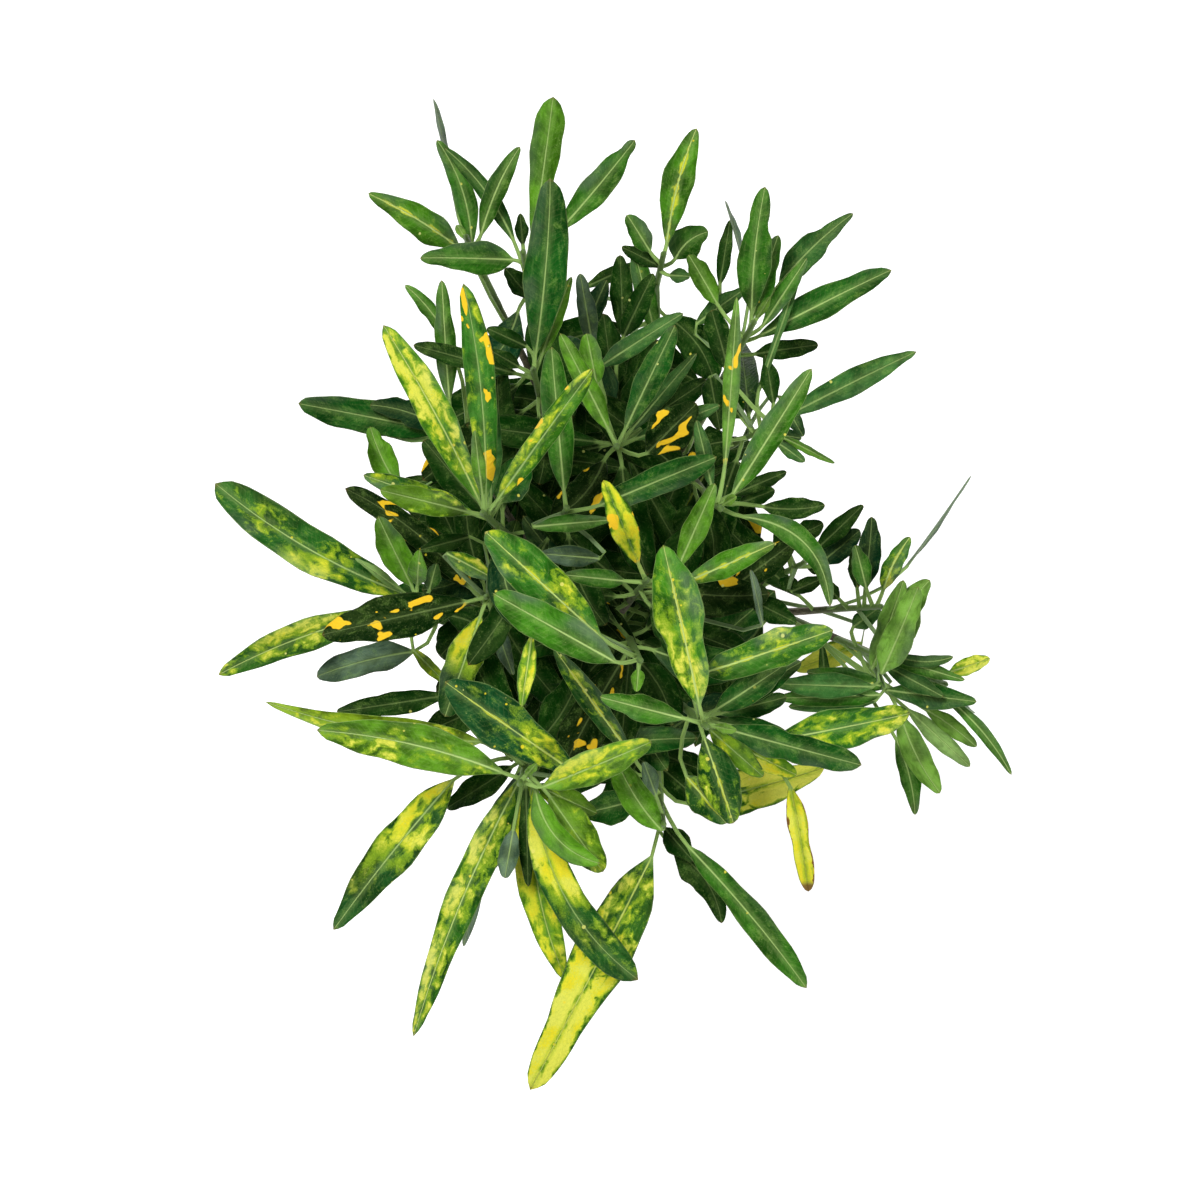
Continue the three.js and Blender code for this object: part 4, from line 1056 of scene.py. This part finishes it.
leafPaint, barkPaint = leafFinish(), barkFinish()
for name, found in leaves.items():
    skins = []
    for leaf in found:
        sizes = ("lowRings", "lowAcross") if leaf["outline"] == "under" else ("rings", "across")
        points, faces, attributes = leafSkin(leaf, *(leafMake[size] for size in sizes))
        skins.append((points, faces, {**attributes, **painted(leaf, len(points))}))
    makePiece("leaves_" + name, *joined(skins), leafPaint, "stem_" + name, "leaf")
print("leaves made")


def stemSkin(line, thick, deep, seed):
    # a profile carried along the stem: a circle whose radius falls to the tip, swells at each leaf scar
    # and wavers with two sines round it; the last rings close to the bud's point
    length = walkedAlong(bezier(line, np.linspace(0, 1, barkMake["measure"])))[-1]
    t = np.linspace(0, 1, int(length / barkMake["gap"]))
    centre, along = bezier(line, t), bezierWay(line, t)
    steps, widths = np.array(barkMake["bud"])
    depth = np.linspace(deep, 0, barkMake["buried"] if deep else 0, endpoint=False)
    below, above, upright = len(depth), len(steps), np.array([[0, 0, 1.0]])
    end = centre[-1] + along[-1] * (steps * stemForm["bud"])[:, None]
    centre = np.concatenate([centre[0] - upright * depth[:, None], centre, end])
    along = np.concatenate([np.repeat(upright, below, 0), along, np.repeat(along[-1:], above, 0)])
    tip = stemForm["tip"]
    radius = np.concatenate([np.full(below, thick), mix(thick, tip, t), tip * widths])
    age = np.concatenate([np.zeros(below), t, np.ones(above)])[:, None]
    walked = walkedAlong(centre)[:, None]
    turn = turns(barkMake["sides"])
    swell = np.clip(np.sin(2 * np.pi * walked / barkMake["scars"] + seed), 0, 1) ** barkMake["sharp"]
    long, short = barkMake["knots"]
    knot = np.sin(2 * turn + walked / long + seed) * np.sin(turn - walked / short)
    radius = radius[:, None] * (1 + barkMake["scar"] * swell + barkMake["knot"] * knot * (1 - age))
    across = aside(line[3] - line[0])
    other = direction(np.cross(along, across))[:, None]
    ring = across * np.cos(turn)[:, None] + other * np.sin(turn)[:, None]
    grid = centre[:, None] + ring * radius[..., None]
    return grid.reshape(-1, 3), ringFaces(len(centre), len(turn)), {
        "spot": triples(radius * np.sin(turn), walked, radius * np.cos(turn) + barkMake["apart"] * seed),
        "share": triples(np.zeros(len(turn)), 0, age),
    }


for name, own in lines.items():
    skins = [
        stemSkin(line, stemForm["branch" if i else "root"], 0 if i else barkMake["deep"], i + len(name))
        for i, line in enumerate(own)
    ]
    makePiece("stem_bark_" + name, *joined(skins), barkPaint, "stem_" + name)
print("stems made")

potMake = {
    "height": 180, "rim": 100, "foot": 68, "wall": 7, "floor": 8, "band": 30, "step": 4, "round": 2,
    "sides": 128, "drain": {"radius": 6, "from": 36, "count": 3, "sides": 32},
}


def turnedSkin(profile, sides):
    # a profile of (radius, height) turned about the upright axis, both ends on it and closed by fans
    turn = turns(sides)
    radius, height = np.array(profile, float).T
    ring = radius[1:-1, None, None] * np.stack([np.cos(turn), np.sin(turn)], -1)
    ring = np.concatenate([ring, np.broadcast_to(height[1:-1, None, None], (*ring.shape[:2], 1))], -1)
    points = np.concatenate([ring.reshape(-1, 3), [[0, 0, height[0]], [0, 0, height[-1]]]])
    side, after = np.arange(sides), (np.arange(sides) + 1) % sides
    last = (len(profile) - 3) * sides
    low = np.stack([np.full(sides, len(points) - 2), after, side], -1)
    high = np.stack([last + side, last + after, np.full(sides, len(points) - 1)], -1)
    return points, ringFaces(len(profile) - 2, sides)[0], np.concatenate([low, high])


def rounded(corners, reach, count=5, most=0.45):
    # each corner but the ends gives way to a quadratic Bezier that starts and ends that far from it
    corners = np.array(corners, float)
    line = [corners[:1]]
    for before, corner, after in zip(corners, corners[1:], corners[2:]):
        steps = [before - corner, after - corner]
        starts = [corner + step * min(reach / np.linalg.norm(step), most) for step in steps]
        line.append(bezier(np.array([starts[0], corner, starts[1]]), np.linspace(0, 1, count)))
    return np.concatenate([*line, corners[-1:]])


def outerAt(z):  # radius of the pot's outer wall
    return mix(potMake["foot"], potMake["rim"] - potMake["step"], z / potMake["height"])


innerFloor = outerAt(potMake["floor"]) - potMake["wall"]
innerRim = potMake["rim"] - potMake["step"] - potMake["wall"]


def makePot():  # the turned pot, with three drain holes cut through its floor
    height, rim, floor, step, soft = (potMake[key] for key in ("height", "rim", "floor", "step", "round"))
    band = height - potMake["band"]
    profile = rounded([
        (0, 0), (potMake["foot"], 0), (outerAt(band - step), band - step), (outerAt(band) + step, band),
        (rim - soft / 2, height), (innerRim, height), (innerFloor, floor), (0, floor),
    ], soft)
    paint, drain = clayFinish(), potMake["drain"]
    pot = makePiece("clay_pot", *turnedSkin(profile, potMake["sides"]), {}, paint, "pot", "clay")
    shaft = [(0, -floor), (drain["radius"], -floor), (drain["radius"], 2 * floor), (0, 2 * floor)]
    points, *faces = turnedSkin(shaft, drain["sides"])
    places = [drain["from"] * np.array([np.cos(turn), np.sin(turn), 0]) for turn in turns(drain["count"])]
    drills = joined([(points + place, faces, {}) for place in places])
    cutter = makePiece("drain_drills", *drills, paint, None)
    cut = pot.modifiers.new("drain", "BOOLEAN")
    cut.object, cut.operation, cut.solver = cutter, "DIFFERENCE", "EXACT"
    bpy.context.view_layer.update()
    pot.data = bpy.data.meshes.new_from_object(pot.evaluated_get(bpy.context.evaluated_depsgraph_get()))
    pot.modifiers.clear()
    bpy.data.objects.remove(cutter)
    pot.modifiers.new("softEdges", "WEIGHTED_NORMAL")


makePot()
print("pot made")

soilMake = {
    "level": 156, "mound": 7, "grain": 1.6, "grains": ((0.21, 0.13), (0.19, 0.07)), "gap": 0.3, "bend": 80,
    "rings": 44, "sides": 120, "edge": 0.06, "rough": 0.7, "waves": 5, "wave": 0.33, "turn": 2.4,
    "crumbs": 760, "crumb": (0.8, 3.2), "ball": (5, 8), "inside": 0.95, "squash": (0.6, 1.3),
    "uneven": (0.8, 1.2), "seed": 7, "bedDust": 0.1, "crumbDust": 0.5,
}


def soilTop(x, y):  # height over the mound: the solid's own grain, and finer waves in five directions
    (a, b), (c, d) = soilMake["grains"]
    height = soilMake["grain"] * np.sin(x * a + y * b) * np.cos(y * c - x * d)
    for k in range(1, soilMake["waves"] + 1):
        way = x * np.cos(soilMake["turn"] * k) + y * np.sin(soilMake["turn"] * k)
        height = height + soilMake["rough"] / k**0.5 * np.sin(way * soilMake["wave"] * k + k)
    return height


def soilInner(z):  # radius of the soil, a gap away from the pot's inner wall
    share = (z - potMake["floor"]) / (potMake["height"] - potMake["floor"])
    return mix(innerFloor, innerRim, share) - soilMake["gap"]


def moundAt(share):
    return soilMake["level"] + soilMake["mound"] * np.sin(share * np.pi / 2)


wide, bend = soilInner(soilMake["level"]), soilMake["bend"]
bottom = potMake["floor"] + soilMake["gap"]
soilProfile = [(0, bottom), (soilInner(bottom) - soilMake["gap"], bottom), (soilInner(bend), bend)]
soilProfile += [(wide * (1 - share), moundAt(share)) for share in np.linspace(0, 1, soilMake["rings"])]
points, quads, triangles = turnedSkin(soilProfile, soilMake["sides"])
inner = np.hypot(points[:, 0], points[:, 1]) / wide
calm = upTo(1 - inner, soilMake["edge"]) * (points[:, 2] > soilMake["level"] - 1)
points[:, 2] += soilTop(points[:, 0], points[:, 1]) * calm
bedPaint = earthFinish("pottingSoil", soilMake["bedDust"])
crumbPaint = earthFinish("soilCrumbs", soilMake["crumbDust"])
makePiece("soil_bed", points, quads, triangles, {}, bedPaint, "soil", "earth")


def crumbs(count):
    # a ball of 8 by 5 rings, each copy shrunk, squashed, roughened and set on the soil at a drawn place
    draw = np.random.default_rng(soilMake["seed"])
    rings, sides = soilMake["ball"]
    tall = np.linspace(-np.pi / 2, np.pi / 2, rings)
    ball, quads, triangles = turnedSkin(np.stack([np.cos(tall), np.sin(tall)], 1), sides)
    away = wide * soilMake["inside"] * np.sqrt(draw.random(count))
    turn = 2 * np.pi * draw.random(count)
    x, y = away * np.cos(turn), away * np.sin(turn)
    z = moundAt(1 - away / wide) + soilTop(x, y)
    size = mix(*soilMake["crumb"], draw.random(count) ** 3)
    shape = size[:, None, None] * draw.uniform(*soilMake["squash"], (count, 1, 3)) * ball[None]
    shape = shape * draw.uniform(*soilMake["uneven"], (count, len(ball), 1))
    shape = shape + np.stack([x, y, z], 1)[:, None]
    shift = (np.arange(count) * len(ball))[:, None, None]
    return shape.reshape(-1, 3), (quads + shift).reshape(-1, 4), (triangles + shift).reshape(-1, 3)


makePiece("soil_crumbs", *crumbs(soilMake["crumbs"]), {}, crumbPaint, "soil", "earth")
print("soil made")

studio = {
    "floor": 9, "contact": (0.06, 0.14), "dim": 0.1, "glow": 0.75, "pale": (206, 206, 206),
    "cool": (200, 200, 201), "cloud": (3, 2), "rough": 0.9, "depth": 0.0001,
    "room": 0.13, "horizon": 0.94, "skyline": (0.12, 0.3),
    "key": 115, "keySize": 1.3, "keyPlace": (-1.1, 1.3, 3.5), "fill": 72, "fillSize": 1.5,
    "fillPlace": (1.9, -1.7, 2.9), "aim": (0, 0, 0.4), "lens": 106, "sensor": 36, "cameraHeight": 2.6,
}


def floorFinish():  # a lit sheet, darker where the pot stands on it
    f = newFinish("paleFloor")
    place = f.place()
    x, y, _ = f.parts(place)
    cloud = f.noise(place, *studio["cloud"])
    white = f.layers(studio, "pale", (cloud, "cool"))
    away = (x * x + y * y) ** 0.5
    lit = f.blend(away.ramp(*studio["contact"]), (*[studio["dim"]] * 3, 1), (1, 1, 1, 1))
    glow = {"Emission_Color": lit, "Emission_Strength": studio["glow"]}
    return f.shine(white, studio["rough"], cloud, studio["depth"], **glow)


def makeFloor():  # a square sheet on the level z = 0
    half = studio["floor"] / 2
    mesh = bpy.data.meshes.new("floor")
    corners = [(-half, -half, 0), (half, -half, 0), (half, half, 0), (-half, half, 0)]
    mesh.from_pydata(corners, [], [(0, 1, 2, 3)])
    mesh.materials.append(floorFinish())
    sheet = bpy.data.objects.new("floor", mesh)
    bpy.context.scene.collection.objects.link(sheet)
    sheet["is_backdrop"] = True


def softLamp(name, power, size, place):  # a square area light that faces the plant
    lamp = bpy.data.lights.new(name, "AREA")
    lamp.energy, lamp.size = power, size
    holder = bpy.data.objects.new(name, lamp)
    holder.location = place
    aim = Vector(studio["aim"]) - Vector(place)
    holder.rotation_euler = aim.to_track_quat("-Z", "Y").to_euler()
    bpy.context.scene.collection.objects.link(holder)


makeFloor()
softLamp("keyLamp", studio["key"], studio["keySize"], studio["keyPlace"])
softLamp("fillLamp", studio["fill"], studio["fillSize"], studio["fillPlace"])
scene = bpy.context.scene
room = Finish(bpy.data.worlds.new("paleRoom"))
_, _, z = room.parts(room.node("TexCoord", output="Generated"))
horizon, wall = ((*[studio[key]] * 3, 1) for key in ("horizon", "room"))
light = room.blend(z.ramp(*studio["skyline"]), horizon, wall)
scene.world = room.close("World", room.node("Background", sockets={"Color": light, "Strength": 1.0}))
scene.view_settings.view_transform = "Standard"  # keeps the greens and golds as bright as they are
camera = bpy.data.objects.new("camera", bpy.data.cameras.new("camera"))
camera.data.lens, camera.data.sensor_width = studio["lens"], studio["sensor"]
camera.location = (0, 0, studio["cameraHeight"])
scene.collection.objects.link(camera)
scene.camera = camera
print("room, lights and camera made")

sizes = {"cad": [list(corner) for corner in cadBox], "scene": [list(corner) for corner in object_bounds()]}
